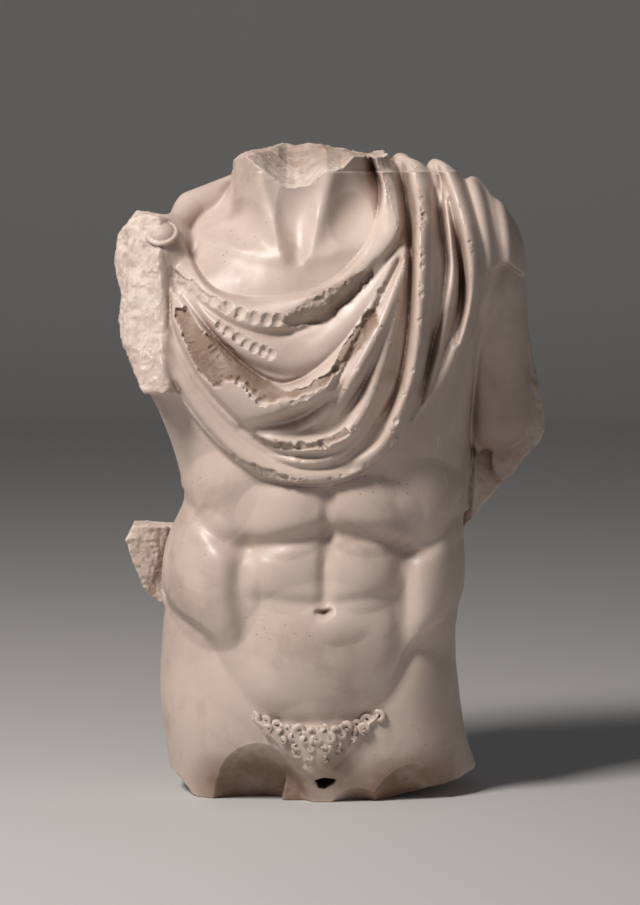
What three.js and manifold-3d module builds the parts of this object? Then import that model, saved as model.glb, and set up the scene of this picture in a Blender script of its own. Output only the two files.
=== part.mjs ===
// Marble torso with a cloak pinned on one shoulder, carved in one block. The head, the arms and the
// legs are broken off, and it stands on the stumps of its thighs.
// Millimetres, +Z up, -Y in front, +X towards the statue's left arm, origin under its middle.

import * as THREE from 'three';
import { ParametricGeometry } from 'three/addons/geometries/ParametricGeometry.js';
import { mergeVertices } from 'three/addons/utils/BufferGeometryUtils.js';
import Module from 'manifold-3d';

const wasm = await Module();
wasm.setup();

// ---- Driving dimensions -----------------------------------------------------------------------

const NECK_TOP = 741;            // height of the broken neck over the trunk's middle line
const NECK_TOP_RISE = 0.13;      // how much that break climbs towards the back
const TRUNK_MID = 12;            // distance behind the origin of the trunk's widest line
const TRUNK_ROUNDNESS = 2.35;    // 2 is an ellipse, more is squarer
const NECK_MID = 5;
const NECK_ROUNDNESS = 2.1;
const NECK_FOOT = 552;
const NECK_LEAN = 0.10;          // the neck leans forward by this share of its height
const CLOTH = 7;                 // thickness of the cloak where it lies smooth
const CLOTH_EDGE = 5;            // width of the slope at its edge
const SIDE_BLEND = 16;           // half the strip along the flanks where front meets back
const CENTRE_SHIFT = [0, 0];     // puts the middle of the finished box over the origin
const MARBLE = { color: 0xc4b2a4, roughness: 0.5, metalness: 0 };

// Girth of the trunk: height, reach to the right, to the left, to the front and to the back
const TRUNK = [
  [-68, 172, 158, 84, 96], [-8, 181, 182, 90, 108], [32, 186, 172, 94, 120], [62, 190, 161, 97, 130],
  [97, 195, 152, 99, 135], [137, 196, 150, 102, 133], [177, 194, 149, 105, 120],
  [222, 190, 149, 107, 101], [272, 187, 151, 107, 86], [307, 180, 154, 106, 80],
  [342, 166, 157, 107, 80], [387, 176, 161, 111, 88], [442, 196, 166, 116, 100],
  [492, 220, 171, 117, 109], [542, 222, 178, 112, 112], [592, 198, 178, 100, 106],
  [632, 150, 150, 84, 88], [672, 95, 92, 62, 62], [722, 60, 30, 30, 30],
];
const NECK = [
  [552, 112, 52, 50, 70], [612, 110, 50, 56, 74], [642, 108, 47, 60, 74],
  [682, 107, 46, 58, 70], [712, 108, 46, 58, 70], [782, 108, 46, 60, 72],
];

// ---- Soft arithmetic --------------------------------------------------------------------------

const clamp = THREE.MathUtils.clamp;

function softMin(a, b, reach) {
  const h = Math.max(reach - Math.abs(a - b), 0) / reach;
  return Math.min(a, b) - h * h * reach * 0.25;
}

function softMax(a, b, reach) {
  return -softMin(-a, -b, reach);
}

function ramp(value, start, end) {
  return THREE.MathUtils.smoothstep(value, start, end);
}

// Value at a share of the way along an evenly spaced list
function along(list, share) {
  const place = share * (list.length - 1);
  const i = Math.min(Math.floor(place), list.length - 2);
  return list.length === 1 ? list[0] : THREE.MathUtils.lerp(list[i], list[i + 1], place - i);
}

// ---- Rounded masses: negative inside, in millimetres from the surface -------------------------

function ellipsoid(p, centre, radii) {
  const q = p.map((value, i) => (value - centre[i]) / radii[i]);
  const reach = Math.hypot(...q) + 1e-6;
  const slope = Math.hypot(...q.map((value, i) => value / radii[i])) + 1e-9;
  return reach * (reach - 1) / slope;
}

function limb(p, start, end, startRadius, endRadius) {
  const d = end.map((value, i) => value - start[i]);
  const q = p.map((value, i) => value - start[i]);
  const length = d[0] * d[0] + d[1] * d[1] + d[2] * d[2];
  const t = clamp((q[0] * d[0] + q[1] * d[1] + q[2] * d[2]) / length, 0, 1);
  const radius = THREE.MathUtils.lerp(startRadius, endRadius, t);
  return Math.hypot(q[0] - t * d[0], q[1] - t * d[1], q[2] - t * d[2]) - radius;
}

function slab(p, centre, half, rounding, turn) {
  const angle = THREE.MathUtils.degToRad(turn);
  const x = p[0] - centre[0];
  const z = p[2] - centre[2];
  const qx = Math.abs(x * Math.cos(angle) + z * Math.sin(angle)) - half[0] + rounding;
  const qy = Math.abs(p[1] - centre[1]) - half[1] + rounding;
  const qz = Math.abs(z * Math.cos(angle) - x * Math.sin(angle)) - half[2] + rounding;
  const outside = Math.hypot(Math.max(qx, 0), Math.max(qy, 0), Math.max(qz, 0));
  return outside + Math.min(Math.max(qx, qy, qz), 0) - rounding;
}

// ---- Bodies lofted through stations -----------------------------------------------------------

// Reach in one column of the stations at a height, on a smooth curve through them all
function girth(stations, column, height) {
  const z = clamp(height, stations[0][0], stations.at(-1)[0]);
  let i = 0;
  while (i < stations.length - 2 && z > stations[i + 1][0]) i += 1;
  const slope = (k) => {
    const low = stations[Math.max(k - 1, 0)];
    const high = stations[Math.min(k + 1, stations.length - 1)];
    return (high[column] - low[column]) / (high[0] - low[0]);
  };
  const span = stations[i + 1][0] - stations[i][0];
  const t = (z - stations[i][0]) / span;
  const start = stations[i][column] * (2 * t ** 3 - 3 * t ** 2 + 1);
  const end = stations[i + 1][column] * (3 * t ** 2 - 2 * t ** 3);
  const leave = slope(i) * span * (t ** 3 - 2 * t ** 2 + t);
  return start + end + leave + slope(i + 1) * span * (t ** 3 - t ** 2);
}

function loft(p, stations, mid, roundness) {
  const ratio = (z) => {
    const right = girth(stations, 1, z);
    const left = girth(stations, 2, z);
    const depth = p[1] < mid ? girth(stations, 3, z) + mid : girth(stations, 4, z) - mid;
    const x = Math.abs(p[0] - (left - right) / 2) / ((left + right) / 2);
    const y = Math.abs(p[1] - mid) / depth;
    const reach = (x ** roundness + y ** roundness) ** (1 / roundness) + 1e-6;
    const across = x ** (roundness - 1) / ((left + right) / 2);
    const deep = y ** (roundness - 1) / depth;
    return { reach, flat: Math.hypot(across, deep) * reach ** (1 - roundness) };
  };
  const here = ratio(p[2]);
  const climb = ratio(p[2] + 1).reach - here.reach;
  return (here.reach - 1) / (Math.hypot(here.flat, climb) + 1e-6);
}

// ---- Courses: lines drawn on the front or the back, as [x, height] ----------------------------

// A smooth line through a few points
function flow(points, steps = 4) {
  const curve = new THREE.SplineCurve(points.map((point) => new THREE.Vector2(...point)));
  const smooth = curve.getPoints(steps * (points.length - 1));
  return smooth.map((point) => [point.x, point.y]);
}

// A hanging line, from its right end down to its lowest point and up to its left end; the
// fullness bends each half, 1 being straight
function swag(right, low, left, rightFullness = 2, leftFullness = 2, steps = 7) {
  const half = (end, fullness) => (t) => [
    low[0] + (end[0] - low[0]) * t,
    low[1] + (end[1] - low[1]) * t ** fullness,
  ];
  const shares = Array.from({ length: steps + 1 }, (_, i) => i / steps);
  const down = shares.slice(1).reverse().map(half(right, rightFullness));
  return [...down, ...shares.map(half(left, leftFullness))];
}

// Signed distance to a course, positive on the left of its travel, and the share along it
function nearest(course, x, z) {
  let best = Infinity;
  let side = 1;
  let share = 0;
  for (let i = 0; i < course.length - 1; i += 1) {
    const dx = course[i + 1][0] - course[i][0];
    const dz = course[i + 1][1] - course[i][1];
    const qx = x - course[i][0];
    const qz = z - course[i][1];
    const t = clamp((qx * dx + qz * dz) / (dx * dx + dz * dz + 1e-9), 0, 1);
    const gap = Math.hypot(qx - t * dx, qz - t * dz);
    if (gap < best) {
      best = gap;
      side = dx * qz - dz * qx < 0 ? -1 : 1;
      share = (i + t) / (course.length - 1);
    }
  }
  return { distance: best * side, share };
}

// Each kind of carving returns a function of the place on the sheet, or 0 out of its reach
function carving(course, reach, shape) {
  const xs = course.map((point) => point[0]);
  const zs = course.map((point) => point[1]);
  const box = [Math.min(...xs), Math.max(...xs), Math.min(...zs), Math.max(...zs)];
  return (x, z) => {
    if (x < box[0] - reach || x > box[1] + reach || z < box[2] - reach || z > box[3] + reach) {
      return 0;
    }
    const { distance, share } = nearest(course, x, z);
    return shape(distance, share);
  };
}

// A fold of cloth with its own slope on each side of the crest
function fold(course, height, left, right, fullness = 0.8) {
  return carving(course, Math.max(...left, ...right), (distance, share) => {
    const t = Math.abs(distance) / along(distance > 0 ? left : right, share);
    return along(height, share) * Math.max(1 - t * t, 0) ** fullness;
  });
}

// A soft rise, or a soft valley where the height is negative
function swell(course, height, width) {
  return carving(course, 2.2 * Math.max(...width), (distance, share) => {
    const t = distance / along(width, share);
    return along(height, share) * Math.exp(-1.6 * t * t);
  });
}

// A step: the ground on the left of the course stands proud and settles again behind it
function ledge(course, height, edge, settle) {
  return carving(course, 3.2 * settle, (distance, share) => (
    along(height, share) * ramp(distance, -edge / 2, edge / 2) * Math.exp(-Math.max(distance, 0) / settle)
  ));
}

// A rounded muscle
function muscle(centre, radii, height, turn = 0, softness = 1.3) {
  const cos = Math.cos(THREE.MathUtils.degToRad(turn));
  const sin = Math.sin(THREE.MathUtils.degToRad(turn));
  return (x, z) => {
    const a = ((x - centre[0]) * cos + (z - centre[1]) * sin) / radii[0];
    const b = ((z - centre[1]) * cos - (x - centre[0]) * sin) / radii[1];
    return height * Math.max(1 - a * a - b * b, 0) ** softness;
  };
}

// ---- The body -----------------------------------------------------------------------------------

const RIB_ARCH = flow([
  [-162, 348], [-135, 316], [-101, 296], [-66, 300], [-1, 312], [57, 307], [98, 291], [133, 316],
  [148, 341],
]);
const BELLY_EDGE = flow([
  [-205, 254], [-178, 221], [-136, 194], [-109, 148], [-70, 106], [-14, 100], [42, 112], [74, 140],
  [98, 182], [133, 207], [165, 240],
]);

const BODY_FRONT = [
  muscle([-50, 338], [62, 42], 9, 8), muscle([46, 340], [66, 42], 8, -6),          // upper belly
  muscle([-128, 350], [46, 58], 7, -35), muscle([120, 346], [42, 56], 6, 35),      // ribs
  muscle([-52, 274], [52, 36], 5), muscle([42, 277], [48, 34], 5),
  muscle([-4, 186], [104, 86], 13), muscle([4, 216], [26, 20], 3),                 // lower belly
  muscle([-144, 262], [54, 76], 13, 14), muscle([124, 256], [46, 70], 10, -14),    // flanks
  muscle([-108, 84], [86, 92], 9), muscle([104, 88], [70, 86], 8),                 // thighs
  muscle([-14, 70], [62, 50], 8),
  ledge(BELLY_EDGE, [5, 12, 11, 9, 8, 7, 8, 9, 9, 10, 4], 12, 30),
  ledge(RIB_ARCH, [4, 4, 4, 3, 3, 3, 4, 4, 4], 14, 26),
  swell(RIB_ARCH, [-4, -6, -5, -5, -6, -5, -7, -6, -3], [11]),
  swell(flow([[0, 364], [0, 316], [-1, 282], [-4, 238]]), [-3, -4.5, -4.5, -3], [9]),
  swell(flow([[-96, 296], [-104, 250], [-98, 196], [-84, 160]]), [-5, -6, -3, -1], [15]),
  swell(flow([[86, 292], [85, 257], [82, 190], [72, 160]]), [-5, -6, -3, -1], [15]),
  swell([[-12, 233], [-4, 234], [4, 233]], [-9, -12, -9], [6]),                    // navel
  swell([[-58, 94], [-44, 70], [-32, 46]], [-3, -5, -5], [8]),
  swell([[46, 104], [26, 76], [8, 46]], [-3, -5, -5], [8]),
  swell([[-76, 714], [-67, 672], [-56, 638]], [5, 7, 7], [13]),                    // neck tendons
  swell([[2, 714], [-7, 671], [-17, 636]], [5, 7, 7], [13]),
  muscle([-36, 660], [19, 36], -6), muscle([-37, 632], [16, 13], -5),
  swell([[-154, 644], [-119, 638], [-52, 623]], [2, 4, 2], [13]),                  // collar bones
  swell([[48, 647], [4, 630], [-20, 623]], [2, 4, 2], [13]),
];

const BODY_BACK = [
  muscle([-100, 84], [92, 96], 20, 0, 0.9), muscle([80, 88], [84, 92], 20, 0, 0.9), // buttocks
  muscle([-55, 292], [42, 90], 8, 4), muscle([35, 292], [42, 90], 8, -4),
  swell([[-12, 420], [-10, 272], [-12, 192]], [-8, -9, -6], [14]),                  // spine
  swell([[-12, 170], [-12, 112], [-8, -28]], [-4, -14, -17], [9]),
  swell([[-170, 32], [-110, 10], [-16, 26]], [-2, -8, -6], [12]),
  swell([[16, 26], [80, 10], [150, 32]], [-6, -8, -2], [12]),
];

// ---- The cloak ------------------------------------------------------------------------------------

const NECKLINE = flow([
  [-176, 660], [-164, 638], [-136, 595], [-100, 581], [-52, 581], [-15, 590], [19, 611], [49, 652],
  [60, 699], [50, 737], [44, 790],
]);
const HEM = swag([-210, 532], [-26, 368], [102, 445], 2.25, 2.5);
const HEM_RISE = flow([[102, 445], [135, 485], [168, 545], [188, 608]]);
const SHOULDER_EDGE = flow([[188, 608], [205, 614], [228, 598], [262, 588]]);
const TORN_EDGE = flow([[-197, 660], [-184, 609], [-183, 546], [-215, 532]]);
const FRONT_OUTLINE = [
  ...NECKLINE.toReversed(), ...TORN_EDGE, ...HEM, ...HEM_RISE.slice(1), ...SHOULDER_EDGE.slice(1),
  [262, 790],
];
const BACK_HEM = flow([[-262, 512], [-170, 462], [-40, 387], [110, 334], [262, 310]]);
const BACK_OUTLINE = [...BACK_HEM, [262, 790], [-262, 790]];

const SWAGS = [
  fold(swag([-184, 632], [-84, 559], [52, 625]), [14, 16, 18, 18, 19, 21, 17], [23, 25, 25, 22],
    [16, 21, 26, 26, 16], 0.6),
  fold(flow([[52, 625], [77, 658], [74, 706], [60, 762]]), [17, 21, 21, 18], [28, 26, 20], [12, 10],
    0.6),
  fold(swag([-166, 590], [-40, 509], [82, 632], 1.8, 1.9), [12, 17, 17, 12, 13, 12],
    [16, 26, 34, 28, 14], [8, 18, 20, 14, 10]),
  fold(swag([-174, 582], [-57, 462], [78, 622], 1.45, 2.05), [14, 22, 28, 34, 31, 24, 14],
    [9, 11, 16, 21, 16, 11], [22, 46, 52, 40, 20, 10]),
  fold(flow([[0, 444], [27, 492], [62, 556], [84, 616]]), [8, 27, 22, 14], [9, 12, 10],
    [14, 18, 12]),
  fold(swag([-92, 431], [-30, 413], [88, 630], 1.6, 3.3), [9, 19, 22, 24, 21, 14], [10, 19, 16, 14],
    [8, 13, 14, 10]),
  fold(swag([-66, 401], [-22, 394], [48, 438], 1.6, 2.2), [8, 17, 17, 11], [8, 14], [8]),
  fold(swag([-196, 532], [-24, 375], [40, 392], 2.2, 2.2), [12, 17, 16, 14, 10], [16, 21, 12], [8]),
  fold(swag([-206, 518], [-26, 373], [94, 438], 2.25, 2.5), [10, 13, 13, 15, 14], [8], [9], 0.6),
];

const FALLS = [
  fold(flow([[80, 790], [105, 694], [105, 640], [97, 520], [70, 426], [34, 392]]),
    [16, 28, 28, 27, 22, 14], [20, 22, 18, 16], [14, 11, 9, 12], 0.6),
  fold(flow([[120, 790], [122, 640], [118, 550]]), [10, 14, 12], [16], [15], 0.9),
  fold(flow([[128, 790], [141, 652], [141, 590], [113, 467]]), [10, 19, 18, 9], [9, 11, 14], [8, 12]),
  fold(flow([[104, 790], [145, 700], [164, 600], [141, 508], [114, 460]]), [14, 26, 28, 20, 9],
    [17, 20, 18], [10, 14]),
  fold(flow([[150, 790], [176, 672], [182, 600], [152, 522]]), [12, 15, 14, 8], [14], [18], 1),
  fold(flow([[186, 790], [208, 640], [208, 604]]), [7, 11, 8], [12], [14], 1),
];

const UNDERCUTS = [
  swell(flow([[-96, 434], [-38, 444], [4, 470]]), [-3, -19, -6], [5, 12, 6]),
  swell(flow([[5, 480], [28, 520], [80, 620]]), [-5, -10, -5], [5]),
  swell(flow([[82, 722], [95, 620], [86, 492], [42, 420]]), [-2, -7, -8, -2], [5, 7, 7]),
  swell(flow([[138, 688], [154, 590], [145, 530]]), [-4, -15, -6], [4, 6, 5]),
  swell([[122, 697], [127, 671], [131, 640]], [-5, -8, -3], [7]),
  swell([[128, 558], [117, 515], [102, 454]], [-3, -9, -5], [6]),
];

const BACK_FOLDS = [
  fold(flow([[80, 790], [98, 660], [118, 450], [150, 326]]), [16, 26, 22, 18], [18], [18]),
  fold(flow([[104, 790], [142, 676], [176, 440], [200, 314]]), [14, 24, 20, 18], [17], [17]),
  fold(flow([[150, 790], [186, 652], [214, 410]]), [12, 16, 14], [16], [16]),
  fold(flow([[60, 762], [62, 680], [58, 590], [100, 340]]), [18, 18, 16, 14], [17], [17]),
  fold(swag([-196, 650], [10, 486], [60, 560], 1.3, 1.6), [14, 18, 17, 10], [18], [18]),
  fold(swag([-200, 636], [0, 428], [76, 500], 1.25, 1.6), [12, 17, 17, 8], [18], [18]),
  fold(swag([-206, 600], [20, 385], [110, 400], 1.25, 1.6), [12, 15, 14, 8], [15], [15]),
  fold(swag([-180, 660], [-40, 604], [50, 640], 1.4, 1.8), [14, 17, 10], [16], [16]),
];

// Distance to the cloak's edge, negative where there is cloth
function edgeDistance(outline, x, z) {
  let within = false;
  outline.forEach(([x1, z1], i) => {
    const [x2, z2] = outline[(i + 1) % outline.length];
    if ((z1 > z) !== (z2 > z) && x < (x2 - x1) * (z - z1) / (z2 - z1) + x1) within = !within;
  });
  const gap = Math.abs(nearest([...outline, outline[0]], x, z).distance);
  return within ? -gap : gap;
}

// Height of the carving over the plain body at a place on the front or on the back
function relief(x, z, outline, folds, undercuts, body) {
  const edge = edgeDistance(outline, x, z);
  const cloth = folds.reduce((height, shape) => softMax(height, shape(x, z), 2.5), CLOTH);
  const carved = undercuts.reduce((height, shape) => height + shape(x, z), cloth);
  const skin = body.reduce((height, shape) => height + shape(x, z), 0);
  return carved * ramp(-edge, -1, CLOTH_EDGE) + skin * ramp(edge, -12, 6);
}

// The carving is worked out once on a sheet of evenly spaced points, softened to what the facets
// of the skin can carry, and read between them
const SHEET = { x: -270, z: -40, width: 540, height: 840, pitch: 5 };

function sheet(heightAt) {
  const columns = SHEET.width / SHEET.pitch + 1;
  const rows = SHEET.height / SHEET.pitch + 1;
  const raw = new Float32Array(columns * rows);
  for (let j = 0; j < rows; j += 1) {
    for (let i = 0; i < columns; i += 1) {
      raw[j * columns + i] = heightAt(SHEET.x + i * SHEET.pitch, SHEET.z + j * SHEET.pitch);
    }
  }
  const weight = [0.25, 0.5, 0.25];
  const soft = (i, j) => weight.reduce((sum, row, dj) => sum + weight.reduce((part, column, di) => {
    const at = clamp(j + dj - 1, 0, rows - 1) * columns + clamp(i + di - 1, 0, columns - 1);
    return part + row * column * raw[at];
  }, 0), 0);
  const softened = raw.map((_, at) => soft(at % columns, Math.floor(at / columns)));
  return (x, z) => {
    const u = clamp((x - SHEET.x) / SHEET.pitch, 0, columns - 1.001);
    const v = clamp((z - SHEET.z) / SHEET.pitch, 0, rows - 1.001);
    const corner = Math.floor(v) * columns + Math.floor(u);
    const low = THREE.MathUtils.lerp(softened[corner], softened[corner + 1], u % 1);
    const high = THREE.MathUtils.lerp(
      softened[corner + columns], softened[corner + columns + 1], u % 1);
    return THREE.MathUtils.lerp(low, high, v % 1);
  };
}

const frontRelief = sheet((x, z) => (
  relief(x, z, FRONT_OUTLINE, [...SWAGS, ...FALLS], UNDERCUTS, BODY_FRONT)
));
const backRelief = sheet((x, z) => relief(x, z, BACK_OUTLINE, BACK_FOLDS, [], BODY_BACK));

// ---- The whole form ---------------------------------------------------------------------------------

// The rolled edge of the cloak behind the neck, from the pin on the right shoulder to the left one
const COLLAR = [
  [-186, -30, 648], [-158, 26, 678], [-100, 64, 700], [-14, 80, 710], [58, 56, 716], [84, 40, 706],
];
const COLLAR_RADIUS = 13;

const GATHER = [[-184, -18, 636], [26, 30, 34]];    // the cloth bunched under the pin

function collar(p) {
  const pieces = COLLAR.slice(1).map((end, i) => limb(p, COLLAR[i], end, COLLAR_RADIUS, COLLAR_RADIUS));
  return Math.min(...pieces);
}

function leftArm(p) {
  const bone = limb(p, [180, 26, 582], [198, 38, 366], 48, 44);
  const tornMuscle = limb(p, [206, 40, 552], [226, 42, 420], 14, 26);
  const hangingCloak = slab(p, [146, 80, 450], [78, 24, 150], 20, -3);
  const brokenEnd = 0.754 * (p[0] - 206) - 0.657 * (p[2] - 372);
  return softMax(softMin(softMin(bone, tornMuscle, 8), hangingCloak, 14), brokenEnd, 3);
}

function rightStump(p) {
  const mass = slab(p, [-204, 8, 578], [44, 52, 94], 20, -2);
  const outward = -206 - p[0];
  const frontBreak = 0.80 * outward + 0.60 * (8 - p[1]) - 42;
  const topBreak = 0.50 * outward + 0.86 * (p[2] - 640) - 20;
  const lowBreak = 0.60 * outward - 0.80 * (p[2] - 520) - 20;
  return softMax(softMax(softMax(mass, frontBreak, 4), topBreak, 6), lowBreak, 6);
}

function form(p) {
  let f = loft(p, TRUNK, TRUNK_MID, TRUNK_ROUNDNESS);
  f = softMin(f, limb(p, [-64, 30, 640], [-176, 22, 604], 50, 50), 30);
  f = softMin(f, limb(p, [34, 34, 654], [122, 28, 646], 54, 56), 24);
  f = softMin(f, limb(p, [100, 28, 640], [160, 22, 606], 56, 54), 22);
  f = softMin(f, ellipsoid(p, [162, 18, 592], [52, 62, 78]), 20);
  const leaning = [p[0], p[1] + (p[2] - 640) * NECK_LEAN, p[2]];
  const neck = softMax(loft(leaning, NECK, NECK_MID, NECK_ROUNDNESS), NECK_FOOT - p[2], 5);
  f = softMin(f, neck, 30);
  f = softMin(f, collar(p), 7);
  f = softMin(f, ellipsoid(p, GATHER[0], GATHER[1]), 8);
  const behind = ramp(p[1], TRUNK_MID - SIDE_BLEND, TRUNK_MID + SIDE_BLEND);
  if (behind < 1) f -= frontRelief(p[0], p[2]) * (1 - behind);
  if (behind > 0) f -= backRelief(p[0], p[2]) * behind;
  f = softMin(f, leftArm(p), 6);
  return softMin(f, rightStump(p), 8);
}

// ---- The skin: a closed grid of points cast inwards onto the form -----------------------------------

// Rings from the underside up: each band looks out from heights on the axis, tilted up or down
const AXIS = [-10, TRUNK_MID];
const BANDS = [
  { rings: 2, from: [30, 30], tilt: [-90, -30] },
  { rings: 2, from: [30, 30], tilt: [-30, 0] },
  { rings: 18, from: [30, 366], tilt: [0, 0] },
  { rings: 20, from: [366, 560], tilt: [0, 0] },
  { rings: 14, from: [560, 560], tilt: [0, 64] },
  { rings: 2, from: [560, 560], tilt: [64, 90] },
];
const RINGS = BANDS.reduce((sum, band) => sum + band.rings, 0);

// Columns run round a rectangle about the axis, closest together in front
const GIRDLE = [
  { columns: 42, start: [-215, -122], end: [215, -122] },
  { columns: 9, start: [215, -122], end: [215, 110] },
  { columns: 20, start: [215, 110], end: [-215, 110] },
  { columns: 6, start: [-215, 110], end: [-215, -122] },
];
const COLUMNS = GIRDLE.reduce((sum, side) => sum + side.columns, 0);
const FAR = 420;

function pick(list, count, place) {
  let rest = place;
  for (const entry of list) {
    if (rest <= entry[count] || entry === list.at(-1)) return [entry, rest / entry[count]];
    rest -= entry[count];
  }
  return [list[0], 0];
}

function castSkin(u, v, target) {
  const [side, share] = pick(GIRDLE, 'columns', (u % 1) * COLUMNS);
  const [band, rise] = pick(BANDS, 'rings', v * RINGS);
  const height = THREE.MathUtils.lerp(...band.from, rise);
  const tilt = THREE.MathUtils.degToRad(THREE.MathUtils.lerp(...band.tilt, rise));
  const way = new THREE.Vector2(...side.start).lerp(new THREE.Vector2(...side.end), share);
  way.normalize().multiplyScalar(v === 0 || v === 1 ? 0 : Math.cos(tilt));
  const at = (t) => [AXIS[0] + way.x * t, AXIS[1] + way.y * t, height + Math.sin(tilt) * t];
  let far = FAR;
  let near = FAR;
  while (form(at(near)) > 0) {
    far = near;
    near -= clamp(form(at(near)) * 0.5, 1.5, 30);
  }
  for (let i = 0; i < 12; i += 1) {
    const middle = (near + far) / 2;
    if (form(at(middle)) > 0) far = middle;
    else near = middle;
  }
  target.set(...at(far));
}

// Each cell of the grid is split along the diagonal that bends the skin least, so that the facets
// run along the folds
function splitAlongFolds(geometry) {
  const corners = geometry.index.array;
  const point = (i) => new THREE.Vector3().fromBufferAttribute(geometry.attributes.position, i);
  const bend = (a, b, c, d) => {
    const one = new THREE.Triangle(point(a), point(b), point(c)).getNormal(new THREE.Vector3());
    const two = new THREE.Triangle(point(a), point(c), point(d)).getNormal(new THREE.Vector3());
    return one.dot(two);
  };
  for (let i = 0; i < corners.length; i += 6) {
    const [a, b, d, , c] = corners.slice(i, i + 5);
    const flat = a !== b && bend(a, b, c, d) > bend(b, c, d, a);
    corners.set(flat ? [a, b, c, a, c, d] : [a, b, d, b, c, d], i);
  }
  return geometry;
}

// ---- Solids, joined and cut -----------------------------------------------------------------------

function solid(geometry, place = new THREE.Matrix4()) {
  const bare = geometry.clone();
  bare.deleteAttribute('normal');
  bare.deleteAttribute('uv');
  const merged = mergeVertices(bare.applyMatrix4(place), 1e-3);
  const corners = merged.index.array;
  const triVerts = [];
  for (let i = 0; i < corners.length; i += 3) {
    const [a, b, c] = corners.slice(i, i + 3);
    if (a !== b && b !== c && c !== a) triVerts.push(a, b, c);
  }
  const vertProperties = new Float32Array(merged.attributes.position.array);
  const mesh = new wasm.Mesh({ numProp: 3, vertProperties, triVerts: new Uint32Array(triVerts) });
  return new wasm.Manifold(mesh);
}

function placed(position, turn = [0, 0, 0], scale = [1, 1, 1]) {
  const angles = turn.map((degrees) => THREE.MathUtils.degToRad(degrees));
  const rotation = new THREE.Quaternion().setFromEuler(new THREE.Euler(...angles, 'ZYX'));
  return new THREE.Matrix4().compose(new THREE.Vector3(...position), rotation,
    new THREE.Vector3(...scale));
}

const BLOCK = 800;               // side of the blocks that cut the flat breaks

// A half-space as a block whose lower face passes through a point, tipped by two angles
function above(point, tipX, tipY) {
  const place = placed(point, [tipX, tipY, 0]);
  return solid(new THREE.BoxGeometry(BLOCK, BLOCK, BLOCK).translate(0, 0, BLOCK / 2), place);
}

function below(point, tipX, tipY) {
  const place = placed(point, [tipX, tipY, 0]);
  return solid(new THREE.BoxGeometry(BLOCK, BLOCK, BLOCK).translate(0, 0, -BLOCK / 2), place);
}

function hollow(centre, radii, segments = 20) {
  const ball = new THREE.SphereGeometry(1, segments, Math.round(segments * 0.6));
  return solid(ball, placed(centre, [0, 0, 0], radii));
}

// The stump of a support that once joined the right hip to a staff or an arm
const SUPPORT = [[-150, 306], [-208, 308], [-227, 309], [-236, 292], [-229, 268], [-220, 245],
  [-208, 223], [-196, 216], [-150, 212]];
const SUPPORT_DEPTH = [14, 72];

function supportStump() {
  const outline = new THREE.Shape(SUPPORT.map((point) => new THREE.Vector2(...point)));
  const depth = SUPPORT_DEPTH[1] - SUPPORT_DEPTH[0];
  const plate = new THREE.ExtrudeGeometry(outline, { depth, bevelEnabled: false });
  return solid(plate, placed([0, SUPPORT_DEPTH[1], 0], [90, 0, 0]));
}

// The round pin that holds the cloak on the right shoulder
const PIN_RADIUS = 14;
const PIN_PROFILE = [[0, -16], [0.86, -16], [1, 1], [0.86, 4], [0.72, 4.5], [0.5, 7.5], [0, 9]];
const PIN_PLACE = [-188, -44, 650];
const PIN_TURN = [172, 0, -18];  // it looks forwards, a little up and to the right

function pin() {
  const profile = PIN_PROFILE.map(([r, z]) => new THREE.Vector2(r * PIN_RADIUS, z));
  return solid(new THREE.LatheGeometry(profile, 20), placed(PIN_PLACE, PIN_TURN));
}

// A lump of marble left between the thighs
function lump() {
  return solid(new THREE.BoxGeometry(36, 50, 60), placed([-34, -54, 6], [0, 8, 0]));
}

const SCOOPS = [
  [[-84, -116, -10], [72, 48, 78]], [[40, -116, -14], [72, 50, 56]], [[124, -104, -10], [58, 60, 76]],
];
const NECK_CHIP = [[-42, -80, 722], [30, 36, 34]];
const THIGH_TIP = [72, 0, 0];    // from here the left thigh's break climbs towards its outside
const THIGH_SLOPE = 15;

function carveTorso() {
  let block = solid(splitAlongFolds(new ParametricGeometry(castSkin, COLUMNS, RINGS)));
  block = block.add(supportStump()).add(pin());
  block = block.subtract(above([0, 0, NECK_TOP], THREE.MathUtils.radToDeg(Math.atan(NECK_TOP_RISE)), 0));
  block = block.subtract(hollow(...NECK_CHIP, 14));
  for (const scoop of SCOOPS) block = block.subtract(hollow(...scoop));
  block = block.subtract(below(THIGH_TIP, 0, -THIGH_SLOPE)).add(lump());
  return block.subtract(below([0, 0, 0], 0, 0));
}

function toGeometry(block) {
  const { vertProperties, triVerts } = block.getMesh();
  const geometry = new THREE.BufferGeometry();
  geometry.setAttribute('position', new THREE.BufferAttribute(vertProperties, 3));
  geometry.setIndex(new THREE.BufferAttribute(triVerts, 1));
  return geometry.translate(...CENTRE_SHIFT, 0);
}

const torso = new THREE.Mesh(toGeometry(carveTorso()), new THREE.MeshStandardMaterial(MARBLE));
torso.name = 'torso';

const statue = new THREE.Group();
statue.add(torso);

export default statue;
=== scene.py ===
import itertools
import math

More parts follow.
